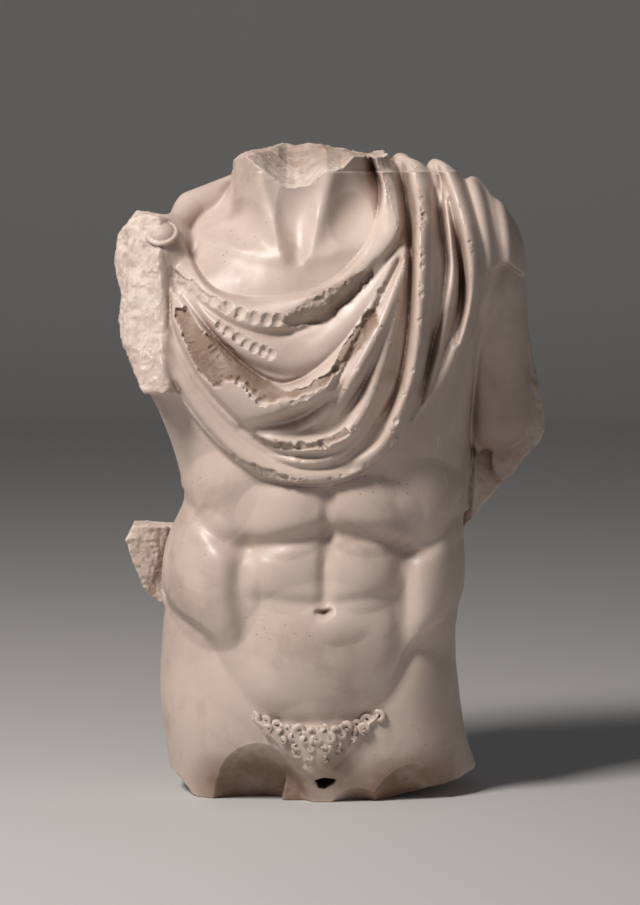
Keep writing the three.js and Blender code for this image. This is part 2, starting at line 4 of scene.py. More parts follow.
import bmesh
import bpy
import numpy as np
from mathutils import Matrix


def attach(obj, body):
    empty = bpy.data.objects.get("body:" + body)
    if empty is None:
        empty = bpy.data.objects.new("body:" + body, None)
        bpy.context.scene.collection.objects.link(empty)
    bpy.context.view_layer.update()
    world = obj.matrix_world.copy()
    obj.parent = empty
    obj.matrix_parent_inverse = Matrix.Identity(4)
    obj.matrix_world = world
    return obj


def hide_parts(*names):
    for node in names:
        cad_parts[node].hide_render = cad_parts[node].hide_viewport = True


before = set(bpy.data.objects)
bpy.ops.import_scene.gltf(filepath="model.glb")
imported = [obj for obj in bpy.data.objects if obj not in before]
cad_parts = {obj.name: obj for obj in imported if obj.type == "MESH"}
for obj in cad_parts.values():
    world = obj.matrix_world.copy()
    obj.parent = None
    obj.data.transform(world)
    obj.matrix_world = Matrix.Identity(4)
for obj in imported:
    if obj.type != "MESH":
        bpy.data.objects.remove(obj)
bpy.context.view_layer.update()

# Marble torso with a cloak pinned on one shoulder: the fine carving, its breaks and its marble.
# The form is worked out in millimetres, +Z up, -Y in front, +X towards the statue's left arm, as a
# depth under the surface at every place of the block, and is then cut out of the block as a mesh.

import openvdb
from bpy.props import FloatProperty, FloatVectorProperty, IntProperty, PointerProperty
from mathutils import Euler, Matrix, Vector

bl_info = {
    "name": "Marble torso",
    "version": (1, 0, 0),
    "blender": (4, 5, 0),
    "location": "3D View > Sidebar > Torso",
    "description": "Carves a broken marble torso with a pinned cloak and sets it in a studio",
    "category": "Add Mesh",
}

NODE = "torso"
MILLIMETRE = 0.001


# ---- Driving sizes of the block, in millimetres ----

TRUNK_MID = 12.0            # distance behind the origin of the trunk's widest line
TRUNK_ROUNDNESS = 2.35      # 2 is an ellipse, more is squarer
NECK_MID = 5.0
NECK_ROUNDNESS = 2.1
NECK_FOOT = 552.0
NECK_LEAN = 0.10            # the neck leans forward by this share of its height
NECK_UPRIGHT = 640.0        # height at which the lean leaves the neck in its place
CLOTH = 7.0                 # thickness of the cloak where it lies smooth
CLOTH_EDGE = 4.0            # width of the slope at its edge
SIDE_BLEND = 16.0           # half the strip along the flanks where front meets back

# Girth of the trunk: height, reach to the right, to the left, to the front and to the back
TRUNK = [
    (-68, 172, 158, 84, 96), (-8, 181, 182, 90, 108), (32, 186, 172, 94, 120),
    (62, 190, 161, 97, 130), (97, 195, 152, 99, 135), (137, 196, 150, 102, 133),
    (177, 194, 149, 105, 120), (222, 190, 149, 107, 101), (272, 187, 151, 107, 86),
    (307, 180, 154, 106, 80), (342, 166, 157, 107, 80), (387, 176, 161, 111, 88),
    (442, 196, 166, 116, 100), (492, 220, 171, 117, 109), (542, 222, 178, 112, 112),
    (592, 198, 178, 100, 106), (632, 150, 150, 84, 88), (672, 95, 92, 62, 62), (722, 60, 30, 30, 30),
]
NECK = [
    (552, 112, 52, 50, 70), (612, 110, 50, 56, 74), (642, 108, 47, 60, 74),
    (682, 107, 46, 58, 70), (712, 108, 46, 58, 70), (782, 108, 46, 60, 72),
]


# ---- Soft arithmetic on whole arrays ----

def soft_min(a, b, reach):
    h = np.maximum(reach - np.abs(a - b), 0) / reach
    return np.minimum(a, b) - h * h * reach * 0.25


def soft_max(a, b, reach):
    return -soft_min(-a, -b, reach)


def ramp(value, start, end):
    t = np.clip((value - start) / (end - start), 0, 1)
    return t * t * (3 - 2 * t)


def mixed(a, b, share):
    return a + (b - a) * share


def along_places(pairs, place):
    """Value at a place on a line through (place, value) pairs."""
    places, values = zip(*pairs)
    return np.interp(place, places, values).astype(np.float32)


def along(values, share):
    """Value at a share of the way along an evenly spaced list."""
    return np.interp(share, np.linspace(0, 1, len(values)), values).astype(np.float32)


# Space that random values are spread over, on a sheet and in the block
SPANS = {2: ((-280, 280), (-60, 820)), 3: ((-280, 280), (-190, 200), (-60, 820))}
_lattices = {}


def uneven(places, size, seed):
    """Smooth random values from -1 to 1, swelling and sinking over about the given size."""
    spans = SPANS[len(places)]
    key = (len(places), size, seed)
    if key not in _lattices:
        counts = [int((high - low) / size) + 3 for low, high in spans]
        _lattices[key] = np.random.default_rng(seed).uniform(-1, 1, counts).astype(np.float32)
    lattice = _lattices[key]
    cells, shares = [], []
    for place, (low, _), count in zip(places, spans, lattice.shape):
        at = np.clip((place - low) / size, 0, count - 1.001)
        cell = at.astype(np.int32)
        t = (at - cell).astype(np.float32)
        cells.append(cell)
        shares.append(t * t * (3 - 2 * t))
    total = 0
    for corner in itertools.product((0, 1), repeat=len(places)):
        weight = 1
        for step, t in zip(corner, shares):
            weight = weight * (t if step else 1 - t)
        total = total + weight * lattice[tuple(c + step for c, step in zip(cells, corner))]
    return total


# ---- Rounded masses: negative inside, in millimetres from the surface ----

def ellipsoid(p, centre, radii):
    q = [(value - c) / r for value, c, r in zip(p, centre, radii)]
    reach = np.sqrt(q[0] ** 2 + q[1] ** 2 + q[2] ** 2) + 1e-6
    slope = np.sqrt(sum((value / r) ** 2 for value, r in zip(q, radii))) + 1e-9
    return reach * (reach - 1) / slope


def limb(p, start, end, start_radius, end_radius):
    d = [b - a for a, b in zip(start, end)]
    q = [value - a for value, a in zip(p, start)]
    t = np.clip(sum(a * b for a, b in zip(q, d)) / sum(a * a for a in d), 0, 1)
    gap = np.sqrt(sum((a - t * b) ** 2 for a, b in zip(q, d)))
    return gap - mixed(start_radius, end_radius, t)


def slab(p, centre, half, rounding, turn):
    cos, sin = math.cos(math.radians(turn)), math.sin(math.radians(turn))
    x, z = p[0] - centre[0], p[2] - centre[2]
    qx = np.abs(x * cos + z * sin) - half[0] + rounding
    qy = np.abs(p[1] - centre[1]) - half[1] + rounding
    qz = np.abs(z * cos - x * sin) - half[2] + rounding
    outside = np.sqrt(np.maximum(qx, 0) ** 2 + np.maximum(qy, 0) ** 2 + np.maximum(qz, 0) ** 2)
    return outside + np.minimum(np.maximum(np.maximum(qx, qy), qz), 0) - rounding


def plane(p, point, facing):
    """Distance in front of a flat break that passes through a point and faces a way."""
    length = math.sqrt(sum(f * f for f in facing))
    return sum((value - at) * f for value, at, f in zip(p, point, facing)) / length


# ---- Bodies lofted through stations ----

class Loft:
    """A body whose girth runs smoothly through stations, one after another up its height."""

    def __init__(self, stations, mid, roundness):
        table = np.array(stations, float)
        heights, slopes = table[:, 0], np.zeros_like(table[:, 1:])
        slopes[1:-1] = (table[2:, 1:] - table[:-2, 1:]) / (heights[2:] - heights[:-2])[:, None]
        slopes[0] = (table[1, 1:] - table[0, 1:]) / (heights[1] - heights[0])
        slopes[-1] = (table[-1, 1:] - table[-2, 1:]) / (heights[-1] - heights[-2])
        self.height = np.arange(heights[0], heights[-1] + 1)
        i = np.clip(np.searchsorted(heights, self.height, "right") - 1, 0, len(heights) - 2)
        span = (heights[i + 1] - heights[i])[:, None]
        t = (self.height - heights[i])[:, None] / span
        right, left, front, back = (
            (2 * t ** 3 - 3 * t ** 2 + 1) * table[i, 1:] + (3 * t ** 2 - 2 * t ** 3) * table[i + 1, 1:]
            + (t ** 3 - 2 * t ** 2 + t) * span * slopes[i] + (t ** 3 - t ** 2) * span * slopes[i + 1]
        ).T
        self.centre, self.width = (left - right) / 2, (left + right) / 2
        self.front, self.back = front + mid, back - mid
        self.mid, self.roundness = mid, roundness

    def ratio(self, x, y, z):
        def at(values):
            return np.interp(z, self.height, values).astype(np.float32)
        width, n = at(self.width), self.roundness
        deep = y - self.mid
        depth = np.where(deep < 0, at(self.front), at(self.back))
        a, b = np.abs(x - at(self.centre)) / width, np.abs(deep) / depth
        reach = (a ** n + b ** n) ** (1 / n) + 1e-6
        flat = np.hypot(a ** (n - 1) / width, b ** (n - 1) / depth) * reach ** (1 - n)
        return reach, flat

    def distance(self, x, y, z):
        reach, flat = self.ratio(x, y, z)
        climb = self.ratio(x, y, z + 1)[0] - reach
        return (reach - 1) / (np.hypot(flat, climb) + 1e-6)


# ---- Courses: lines drawn on the front or the back, as (x, height) ----

def flow(points, steps=5):
    """A smooth line through a few points."""
    p = np.array([points[0], *points, points[-1]], float)
    line = []
    for a, b, c, d in zip(p, p[1:], p[2:], p[3:]):
        for t in np.arange(steps) / steps:
            line.append(0.5 * (2 * b + (c - a) * t + (2 * a - 5 * b + 4 * c - d) * t ** 2
                               + (3 * b - a - 3 * c + d) * t ** 3))
    return np.array([*line, p[-1]])


def swag(right, low, left, right_fullness=2.0, left_fullness=2.0, steps=14):
    """A hanging line, from its right end down to its lowest point and up to its left end."""
    right, low, left = (np.array(point, float) for point in (right, low, left))
    t = np.linspace(1, 0, steps, endpoint=False)[:, None]
    u = np.linspace(0, 1, steps + 1)[:, None]
    down = low + (right - low) * np.hstack([t, t ** right_fullness])
    return np.vstack([down, low + (left - low) * np.hstack([u, u ** left_fullness])])


def nearest(course, x, z):
    """Signed distance to a course, positive on the left of its travel, and the share along it."""
    best = np.full(x.shape, 1e9, np.float32)
    side = np.ones(x.shape, np.float32)
    share = np.zeros(x.shape, np.float32)
    for i, (start, way) in enumerate(zip(course, np.diff(course, axis=0))):
        qx, qz = x - start[0], z - start[1]
        t = np.clip((qx * way[0] + qz * way[1]) / (way @ way + 1e-9), 0, 1)
        gap = (qx - t * way[0]) ** 2 + (qz - t * way[1]) ** 2
        closer = gap < best
        best = np.where(closer, gap, best)
        side = np.where(closer, np.where(way[0] * qz - way[1] * qx < 0, -1, 1), side)
        share = np.where(closer, (i + t) / (len(course) - 1), share)
    return np.sqrt(best) * side, share


# ---- Sheets: the height of the carving over the plain body, at evenly spaced places ----

PITCH = 1.0
SHEET_X = np.arange(-270, 271, PITCH, np.float32)
SHEET_Z = np.arange(-40, 801, PITCH, np.float32)
X, Z = np.meshgrid(SHEET_X, SHEET_Z, indexing="ij")


def bare(level=0.0):
    return np.full(X.shape, level, np.float32)


def window(course, reach):
    """The part of a sheet that a course reaches."""
    low, high = course.min(0) - reach, course.max(0) + reach
    i = np.clip(((low[0] - SHEET_X[0]) / PITCH, (high[0] - SHEET_X[0]) / PITCH + 2), 0, len(SHEET_X))
    j = np.clip(((low[1] - SHEET_Z[0]) / PITCH, (high[1] - SHEET_Z[0]) / PITCH + 2), 0, len(SHEET_Z))
    return slice(int(i[0]), int(i[1])), slice(int(j[0]), int(j[1]))


def fold(course, height, left, right, fullness=0.8, soft=2.0):
    """A fold of cloth with its own slope on each side of the crest."""
    def carve(sheet):
        part = window(course, max(*left, *right))
        distance, share = nearest(course, X[part], Z[part])
        t = distance / np.where(distance > 0, along(left, share), -along(right, share))
        crest = along(height, share) * np.clip(1 - t * t, 0, None) ** fullness
        sheet[part] = soft_max(sheet[part], crest, soft)
    return carve


def swell(course, height, width):
    """A soft rise, or a soft valley where the height is negative."""
    course = np.array(course, float)

    def carve(sheet):
        part = window(course, 2.2 * max(width))
        distance, share = nearest(course, X[part], Z[part])
        t = distance / along(width, share)
        sheet[part] += along(height, share) * np.exp(-1.6 * t * t)
    return carve


def ledge(course, height, edge, settle):
    """A step: the ground on the left of the course stands proud and settles again behind it."""
    def carve(sheet):
        part = window(course, 3.2 * settle)
        distance, share = nearest(course, X[part], Z[part])
        rise = ramp(distance, -edge / 2, edge / 2) * np.clip(1 - distance / (2.5 * settle), 0, 1) ** 2
        sheet[part] += along(height, share) * rise
    return carve


def muscle(centre, radii, height, turn=0, softness=1.3):
    cos, sin = math.cos(math.radians(turn)), math.sin(math.radians(turn))

    def carve(sheet):
        a = ((X - centre[0]) * cos + (Z - centre[1]) * sin) / radii[0]
        b = ((Z - centre[1]) * cos - (X - centre[0]) * sin) / radii[1]
        sheet += height * np.clip(1 - a * a - b * b, 0, None) ** softness
    return carve


def within(outline):
    """Distance to a closed outline over the whole sheet, negative inside it."""
    inside = np.zeros(X.shape, bool)
    for (x1, z1), (x2, z2) in zip(outline, np.roll(outline, -1, axis=0)):
        if z1 != z2:
            inside ^= ((z1 > Z) != (z2 > Z)) & (X < (x2 - x1) * (Z - z1) / (z2 - z1) + x1)
    gap = np.abs(nearest(np.vstack([outline, outline[:1]]), X, Z)[0])
    return np.where(inside, -gap, gap)


def pad(outline, height, edge):
    """A raised patch with a closed outline."""
    def carve(sheet):
        sheet += height * ramp(-within(outline), 0, edge)
    return carve


def smoothed(sheet, reach):
    wide = int(2.5 * reach)
    taps = np.exp(-0.5 * (np.arange(-wide, wide + 1) / reach) ** 2)
    taps /= taps.sum()
    for axis in (0, 1):
        edges = [(wide, wide) if a == axis else (0, 0) for a in (0, 1)]
        padded = np.pad(sheet, edges, "edge")
        sheet = sum(tap * padded.take(range(i, i + sheet.shape[axis]), axis)
                    for i, tap in enumerate(taps))
    return sheet.astype(np.float32)


def read(sheet, x, z):
    """Height of a sheet at any places, evened out between its points."""
    u = np.clip((x - SHEET_X[0]) / PITCH, 0, len(SHEET_X) - 1.001)
    v = np.clip((z - SHEET_Z[0]) / PITCH, 0, len(SHEET_Z) - 1.001)
    i, j = u.astype(np.int32), v.astype(np.int32)
    u, v = (u - i).astype(np.float32), (v - j).astype(np.float32)
    low = mixed(sheet[i, j], sheet[i + 1, j], u)
    return mixed(low, mixed(sheet[i, j + 1], sheet[i + 1, j + 1], u), v)


# ---- The body ----

RIB_ARCH = flow([
    (-162, 348), (-135, 316), (-101, 296), (-66, 300), (-1, 312), (57, 307), (98, 291), (133, 316),
    (148, 341),
])
BELLY_EDGE = flow([
    (-205, 254), (-178, 221), (-136, 194), (-109, 148), (-70, 106), (-14, 100), (42, 112), (74, 140),
    (98, 182), (133, 207), (165, 240),
])

PUBES = flow([
    (-92, 104), (-62, 94), (-14, 91), (30, 93), (62, 103), (46, 84), (26, 60), (8, 42), (-18, 32),
    (-40, 46), (-58, 66), (-76, 84), (-92, 104),
])

BODY_FRONT = [
    muscle((-48, 330), (60, 48), 14, 6), muscle((46, 332), (64, 48), 13, -6),        # upper belly
    muscle((-130, 350), (46, 60), 10, -35), muscle((124, 344), (42, 58), 9, 35),     # ribs
    muscle((-50, 262), (54, 42), 9), muscle((42, 262), (50, 42), 10),
    muscle((-4, 172), (100, 86), 18), muscle((14, 204), (34, 20), 4),                # lower belly
    muscle((-138, 256), (60, 84), 20, 14), muscle((126, 250), (50, 78), 16, -14),    # flanks
    muscle((-108, 84), (86, 92), 10), muscle((104, 88), (70, 86), 9),                # thighs
    muscle((-14, 70), (60, 50), 8),
    ledge(BELLY_EDGE, [5, 13, 10, 4, 3, 3, 3, 5, 9, 11, 4], 14, 30),
    swell(BELLY_EDGE, [-2, -4, -4, -4, -4, -4, -4, -4, -4, -3, -2], [16]),
    ledge(RIB_ARCH, [4, 5, 4, 2, 2, 2, 4, 5, 4], 16, 22),
    swell(RIB_ARCH, [-3, -7, -7, -8, -9, -8, -8, -6, -3], [14]),
    swell(flow([(0, 372), (-2, 316), (-3, 276), (-5, 226)]), [-3, -7, -7, -3], [10]),
    swell(flow([(-94, 300), (-102, 250), (-92, 196), (-72, 150)]), [-6, -8, -6, -2], [16]),
    swell(flow([(84, 290), (88, 250), (86, 200), (72, 156)]), [-6, -8, -6, -2], [16]),
    swell(flow([(-89, 238), (-44, 234), (-4, 232), (34, 236), (80, 240)]), [-1, -3, -3, -3, -1], [10]),
    swell([(-12, 222), (-5, 221), (2, 223)], [-6, -10, -6], [4.0]),                  # navel
    swell([(-58, 94), (-44, 70), (-32, 46)], [-3, -5, -5], [8]),
    swell([(46, 104), (26, 76), (8, 46)], [-3, -5, -5], [8]),
    swell(flow([(-86, 742), (-72, 690), (-52, 632)]), [1, 7, 8, 3], [15]),           # neck tendons
    swell(flow([(10, 742), (-4, 690), (-20, 632)]), [1, 7, 8, 3], [15]),
    muscle((-37, 668), (24, 56), -6),
    muscle((-96, 662), (26, 30), -6), muscle((26, 666), (26, 34), -6),
    pad(PUBES, 6, 5),
    swell([(-154, 644), (-119, 638), (-52, 623)], [2, 4, 2], [13]),                  # collar bones
    swell([(48, 647), (4, 630), (-20, 623)], [2, 4, 2], [13]),
]

BODY_BACK = [
    muscle((-100, 84), (92, 96), 20, 0, 0.9), muscle((80, 88), (84, 92), 20, 0, 0.9),  # buttocks
    muscle((-55, 292), (42, 90), 8, 4), muscle((35, 292), (42, 90), 8, -4),
    muscle((-48, 197), (15, 13), -4), muscle((26, 197), (15, 13), -4),
    swell([(-12, 420), (-10, 272), (-12, 192)], [-8, -9, -6], [14]),                   # spine
    swell([(-12, 170), (-12, 112), (-8, -28)], [-4, -14, -17], [9]),
    swell([(-170, 32), (-110, 10), (-16, 26)], [-2, -8, -6], [12]),
    swell([(16, 26), (80, 10), (150, 32)], [-6, -8, -2], [12]),
]


# ---- The cloak ----

NECKLINE = flow([
    (-176, 660), (-164, 638), (-136, 595), (-100, 581), (-52, 581), (-15, 590), (19, 611), (49, 652),
    (60, 699), (50, 737), (44, 790),
])
HEM = swag((-210, 532), (-26, 368), (102, 445), 2.25, 2.5)
HEM_RISE = flow([(102, 445), (135, 485), (168, 545), (188, 608)])
SHOULDER_EDGE = flow([(188, 608), (205, 614), (228, 598), (262, 588)])
TORN_EDGE = flow([(-197, 660), (-184, 609), (-183, 546), (-215, 532)])
FRONT_OUTLINE = np.vstack([
    NECKLINE[::-1], TORN_EDGE, HEM, HEM_RISE[1:], SHOULDER_EDGE[1:], [(262, 790)],
])
BACK_HEM = flow([(-262, 512), (-170, 462), (-40, 387), (110, 334), (262, 310)])
BACK_OUTLINE = np.vstack([BACK_HEM, [(262, 790), (-262, 790)]])

SWAGS = [
    fold(swag((-184, 632), (-84, 559), (52, 625)), [14, 16, 18, 18, 19, 21, 17], [23, 25, 25, 22],
         [16, 21, 26, 26, 16], 0.6),
    fold(flow([(52, 625), (77, 658), (74, 706), (60, 762)]), [17, 21, 21, 18], [28, 26, 20], [12, 10],
         0.6),
    fold(swag((-166, 590), (-40, 509), (82, 632), 1.8, 1.9), [12, 17, 17, 12, 13, 12],
         [16, 26, 34, 28, 14], [8, 18, 20, 14, 10]),
    fold(swag((-174, 582), (-57, 462), (78, 622), 1.45, 2.05), [14, 22, 28, 34, 31, 24, 14],
         [9, 11, 16, 21, 16, 11], [22, 46, 52, 40, 20, 10]),
    fold(flow([(0, 444), (27, 492), (62, 556), (84, 616)]), [8, 27, 22, 14], [9, 12, 10],
         [14, 18, 12]),
    fold(swag((-92, 431), (-30, 413), (88, 630), 1.6, 3.3), [9, 19, 22, 24, 21, 14], [10, 19, 16, 14],
         [8, 13, 14, 10]),
    fold(swag((-66, 401), (-22, 394), (48, 438), 1.6, 2.2), [8, 17, 17, 11], [8, 14], [8]),
    fold(swag((-196, 532), (-24, 375), (40, 392), 2.2, 2.2), [12, 17, 16, 14, 10], [16, 21, 12], [8]),
    fold(swag((-206, 518), (-26, 373), (94, 438), 2.25, 2.5), [10, 13, 13, 15, 14], [8], [9], 0.6),
]

FALLS = [
    fold(flow([(80, 790), (105, 694), (105, 640), (97, 520), (70, 426), (34, 392)]),
         [16, 28, 28, 27, 22, 14], [20, 22, 18, 16], [14, 11, 9, 12], 0.6),
    fold(flow([(120, 790), (122, 640), (118, 550)]), [10, 14, 12], [16], [15], 0.9),
    fold(flow([(128, 790), (141, 652), (141, 590), (113, 467)]), [10, 19, 18, 9], [9, 11, 14], [8, 12]),
    fold(flow([(104, 790), (145, 700), (164, 600), (141, 508), (114, 460)]), [14, 26, 28, 20, 9],
         [17, 20, 18], [10, 14]),
    fold(flow([(150, 790), (176, 672), (182, 600), (152, 522)]), [12, 15, 14, 8], [14], [18], 1),
    fold(flow([(186, 790), (208, 640), (208, 604)]), [7, 11, 8], [12], [14], 1),
]

UNDERCUTS = [
    swell(flow([(-96, 434), (-38, 444), (4, 470)]), [-3, -24, -8], [5, 12, 6]),
    swell(flow([(5, 480), (28, 520), (80, 620)]), [-5, -12, -6], [5]),
    swell(flow([(82, 722), (95, 620), (86, 492), (42, 420)]), [-2, -8, -9, -2], [5, 6, 7]),
    swell(flow([(138, 688), (154, 590), (145, 530)]), [-4, -16, -7], [4, 6, 5]),
    swell([(122, 697), (127, 671), (131, 640)], [-5, -9, -3], [6]),
    swell([(128, 558), (117, 515), (102, 454)], [-3, -10, -5], [6]),
    swell(swag((-166, 592), (-52, 484), (-20, 492), 1.7, 1.6), [-3, -5, -5, -4, -2], [4]),
    swell(flow([(-181, 552), (-146, 487), (-103, 440), (-66, 410)]), [-3, -6, -7, -1], [4]),
    swell(swag((-165, 595), (-66, 540), (56, 620)), [-3, -4, -3, -4, -6, -3], [4, 5, 7, 7, 5]),
]

BACK_FOLDS = [
    fold(flow([(80, 790), (98, 660), (118, 450), (150, 326)]), [16, 26, 22, 18], [18], [18]),
    fold(flow([(104, 790), (142, 676), (176, 440), (200, 314)]), [14, 24, 20, 18], [17], [17]),
    fold(flow([(150, 790), (186, 652), (214, 410)]), [12, 16, 14], [16], [16]),
    fold(flow([(60, 762), (62, 680), (58, 590), (100, 340)]), [18, 18, 16, 14], [17], [17]),
    fold(swag((-196, 650), (10, 486), (60, 560), 1.3, 1.6), [14, 18, 17, 10], [18], [18]),
    fold(swag((-200, 636), (0, 428), (76, 500), 1.25, 1.6), [12, 17, 17, 8], [18], [18]),
    fold(swag((-206, 600), (20, 385), (110, 400), 1.25, 1.6), [12, 15, 14, 8], [15], [15]),
    fold(swag((-180, 660), (-40, 604), (50, 640), 1.4, 1.8), [14, 17, 10], [16], [16]),
]


# ---- Breaks and chips on the cloak ----

# Broken strips along the folds: upper edge, lower edge, depth below the softened form, how much the
# broken face leans down (or up, below zero), its unevenness, and how brown it has become
BROKEN_STRIPS = [
    (((-190, 622), (-163, 602), (-132, 582), (-119, 575)),
     ((-186, 606), (-160, 590), (-128, 572), (-116, 568)), 1.5, 0, 1.6, 0.1),
    (((-58, 556), (-22, 583), (8, 597), (51, 617)),
     ((-44, 548), (-22, 551), (0, 554), (15, 569), (51, 604)), 2.0, 11, 2.0, 0.5),
    (((-125, 556), (-92, 536), (-59, 520)), ((-122, 548), (-92, 527), (-60, 513)), 1.0, 0, 1.6, 0.3),
    (((-173, 569), (-157, 564), (-139, 541), (-113, 527), (-89, 503), (-57, 481), (-32, 479), (3, 502),
      (26, 541), (53, 573)),
     ((-174, 559), (-163, 529), (-148, 500), (-128, 482), (-101, 489), (-78, 465), (-50, 469),
      (-22, 474), (0, 487), (23, 510), (42, 531), (56, 552)), 3.0, -1, 2.4, 0.9),
    (((95, 704), (96, 640), (97, 590), (93, 530), (84, 470)),
     ((124, 709), (117, 660), (108, 612), (104, 558), (100, 500), (92, 462)), 1.5, 0, 2.6, 0.35),
    (((-89, 427), (-61, 418), (-28, 416), (-1, 425), (20, 434)),
     ((-84, 420), (-63, 411), (-28, 408), (6, 417), (26, 426)), 1.0, 2, 1.8, 0.6),
    (((-122, 413), (-89, 394), (-44, 380)), ((-124, 404), (-89, 384), (-44, 371)), 0.6, 0, 1.4, 0.3),
]
STRIP_SOFTENING = 6          # reach over which the form is softened before a strip is broken off it
STRIP_DEEPEST = 5.0

# Rows of shell-like flakes struck off a crest: the row, how many flakes, their half width and depth
FLAKE_ROWS = [
    (flow([(-119, 572), (-84, 557), (-53, 552)]), 5, (7.5, 11.0), 4.5),
    (flow([(-125, 551), (-92, 530), (-62, 516)]), 7, (5.0, 6.0), 2.4),
    (flow([(-176, 592), (-150, 580), (-128, 572)]), 4, (7.0, 6.0), 2.2),
]

# Crests that are nicked at random: the course, how many nicks, their least and greatest size
NICKED = [
    (swag((-206, 518), (-26, 373), (94, 438), 2.25, 2.5), 46, (1.5, 4.0)),
    (swag((-174, 582), (-57, 462), (78, 622), 1.45, 2.05), 34, (2.0, 6.0)),
    (swag((-92, 431), (-30, 413), (88, 630), 1.6, 3.3), 26, (1.5, 4.5)),
    (swag((-66, 401), (-22, 394), (48, 438), 1.6, 2.2), 10, (1.2, 3.0)),
    (flow([(80, 790), (105, 694), (105, 640), (97, 520), (70, 426)]), 30, (2.0, 6.0)),
    (flow([(0, 444), (27, 492), (62, 556), (84, 616)]), 10, (1.5, 3.5)),
    (flow([(137, 709), (154, 669), (162, 630), (164, 585)]), 5, (1.5, 4.5)),
    (swag((-184, 632), (-84, 559), (52, 625)), 22, (1.5, 4.5)),
]
NICK_SEED = 11


def break_strip(sheet, worn, brown, strip, seed):
    """Takes a strip of crest down to a rough face with a ragged edge."""
    upper, lower, depth, lean, unevenness, stain = strip
    upper, lower = flow(upper), flow(lower)
    part = window(np.vstack([upper, lower]), 24)
    x, z = X[part], Z[part]
    above, below = nearest(upper, x, z)[0], nearest(lower, x, z)[0]
    ragged = 2.4 * uneven((x, z), 9, seed) + 0.7 * uneven((x, z), 4, seed + 1)
    inside = np.minimum(-above, below) + ragged
    ends = np.minimum(nearest(np.array([upper[0], lower[0]]), x, z)[0],
                      -nearest(np.array([upper[-1], lower[-1]]), x, z)[0])
    inside = np.minimum(inside, ends)
    share = np.clip(-above / (np.abs(above) + np.abs(below) + 1e-3), 0, 1)
    rough = (np.abs(uneven((x, z), 13, seed + 2)) + 0.6 * np.abs(uneven((x, z), 6, seed + 3))
             + 0.35 * uneven((x, z), 2.6, seed + 4))
    face = smoothed(sheet[part], STRIP_SOFTENING) - depth + lean * (0.5 - share) - unevenness * rough
    cut = np.clip(face, sheet[part] - STRIP_DEEPEST, sheet[part])
    weight = ramp(inside, -1.0, 1.8)
    worn[part] = np.maximum(worn[part], weight * ramp(sheet[part] - cut, 0.1, 0.8))
    brown[part] = np.maximum(brown[part], weight * stain)
    sheet[part] = mixed(sheet[part], cut, weight)


def strike(sheet, worn, centre, half, depth, turn=0.0):
    """Strikes one shell-like flake off the sheet."""
    reach = max(half) + 1
    part = window(np.array([centre]), reach)
    x, z = X[part] - centre[0], Z[part] - centre[1]
    cos, sin = math.cos(turn), math.sin(turn)
    a, b = (x * cos + z * sin) / half[0], (z * cos - x * sin) / half[1]
    middle = sheet[part][x.shape[0] // 2, x.shape[1] // 2]
    bowl = middle - depth * (1 - 1.15 * (a * a + b * b))
    bowl = np.where(a * a + b * b < 1.25, bowl, 1e3)
    cut = np.minimum(sheet[part], bowl)
    worn[part] = np.maximum(worn[part], ramp(sheet[part] - cut, 0.05, 0.5))
    sheet[part] = cut


def strike_row(sheet, worn, course, count, half, depth):
    for i in range(count):
        at = (i + 0.5) / count * (len(course) - 1)
        k = int(at)
        way = course[k + 1] - course[k]
        strike(sheet, worn, course[k] + way * (at - k), half, depth, math.atan2(way[1], way[0]))


def nick(sheet, worn, chance, course, count, sizes):
    """Small chance nicks along a crest."""
    for at in np.sort(chance.uniform(0, len(course) - 1.001, count)):
        k = int(at)
        centre = course[k] + (course[k + 1] - course[k]) * (at - k) + chance.uniform(-2, 2, 2)
        size = sizes[0] + (sizes[1] - sizes[0]) * chance.uniform(0, 1) ** 2
        half = (size * chance.uniform(0.8, 1.8), size * chance.uniform(0.7, 1.1))
        strike(sheet, worn, centre, half, 0.55 * size, chance.uniform(0, math.pi))


def clothed(cloth, skin, edge):
    """The cloth inside its outline over the skin, which shows again past the edge."""
    return cloth * ramp(-edge, -1, CLOTH_EDGE) + skin * ramp(edge, -12, 6)


def front_sheets():
    """Relief, broken places and brown places on the front."""
    edge = within(FRONT_OUTLINE)
    cloth = bare(CLOTH)
    for carve in SWAGS + FALLS + UNDERCUTS:
        carve(cloth)
    cloth = smoothed(cloth, 1.5)
    worn, brown = bare(), bare()
    for seed, strip in enumerate(BROKEN_STRIPS):
        break_strip(cloth, worn, brown, strip, 10 * seed + 100)
    for row in FLAKE_ROWS:
        strike_row(cloth, worn, *row)
    chance = np.random.default_rng(NICK_SEED)
    for crest in NICKED:
        nick(cloth, worn, chance, *crest)
    skin = bare()
    for carve in BODY_FRONT:
        carve(skin)
    cover = ramp(-edge, -1, CLOTH_EDGE)
    return clothed(cloth, skin, edge), worn * cover, brown * cover


def back_sheet():
    edge = within(BACK_OUTLINE)
    cloth = bare(CLOTH)
    for carve in BACK_FOLDS:
        carve(cloth)
    skin = bare()
    for carve in BODY_BACK:
        carve(skin)
    return clothed(cloth, skin, edge)


def steepness(sheet):
    """How much longer a slope on the sheet is than its run, evened out."""
    slope = np.hypot(*np.gradient(sheet, PITCH))
    return np.sqrt(1 + np.minimum(smoothed(slope, 3), 3) ** 2)


# ---- Masses beside the trunk ----

# Shoulders under the cloak: start and end, radius at each, and how widely each blends in
SHOULDERS = [
    ((-64, 30, 640), (-176, 22, 604), 50, 50, 30), ((44, 34, 664), (122, 28, 656), 55, 57, 24),
    ((100, 28, 650), (162, 24, 620), 58, 56, 22),
]
LEFT_SHOULDER_CAP = ((160, 18, 610), (58, 62, 84))

# The rolled edge of the cloak behind the neck, from the pin on the right shoulder to the left one
COLLAR = [
    (-186, -30, 648), (-158, 26, 678), (-100, 64, 700), (-14, 80, 710), (58, 56, 716), (84, 40, 706),
]
COLLAR_RADIUS = 13

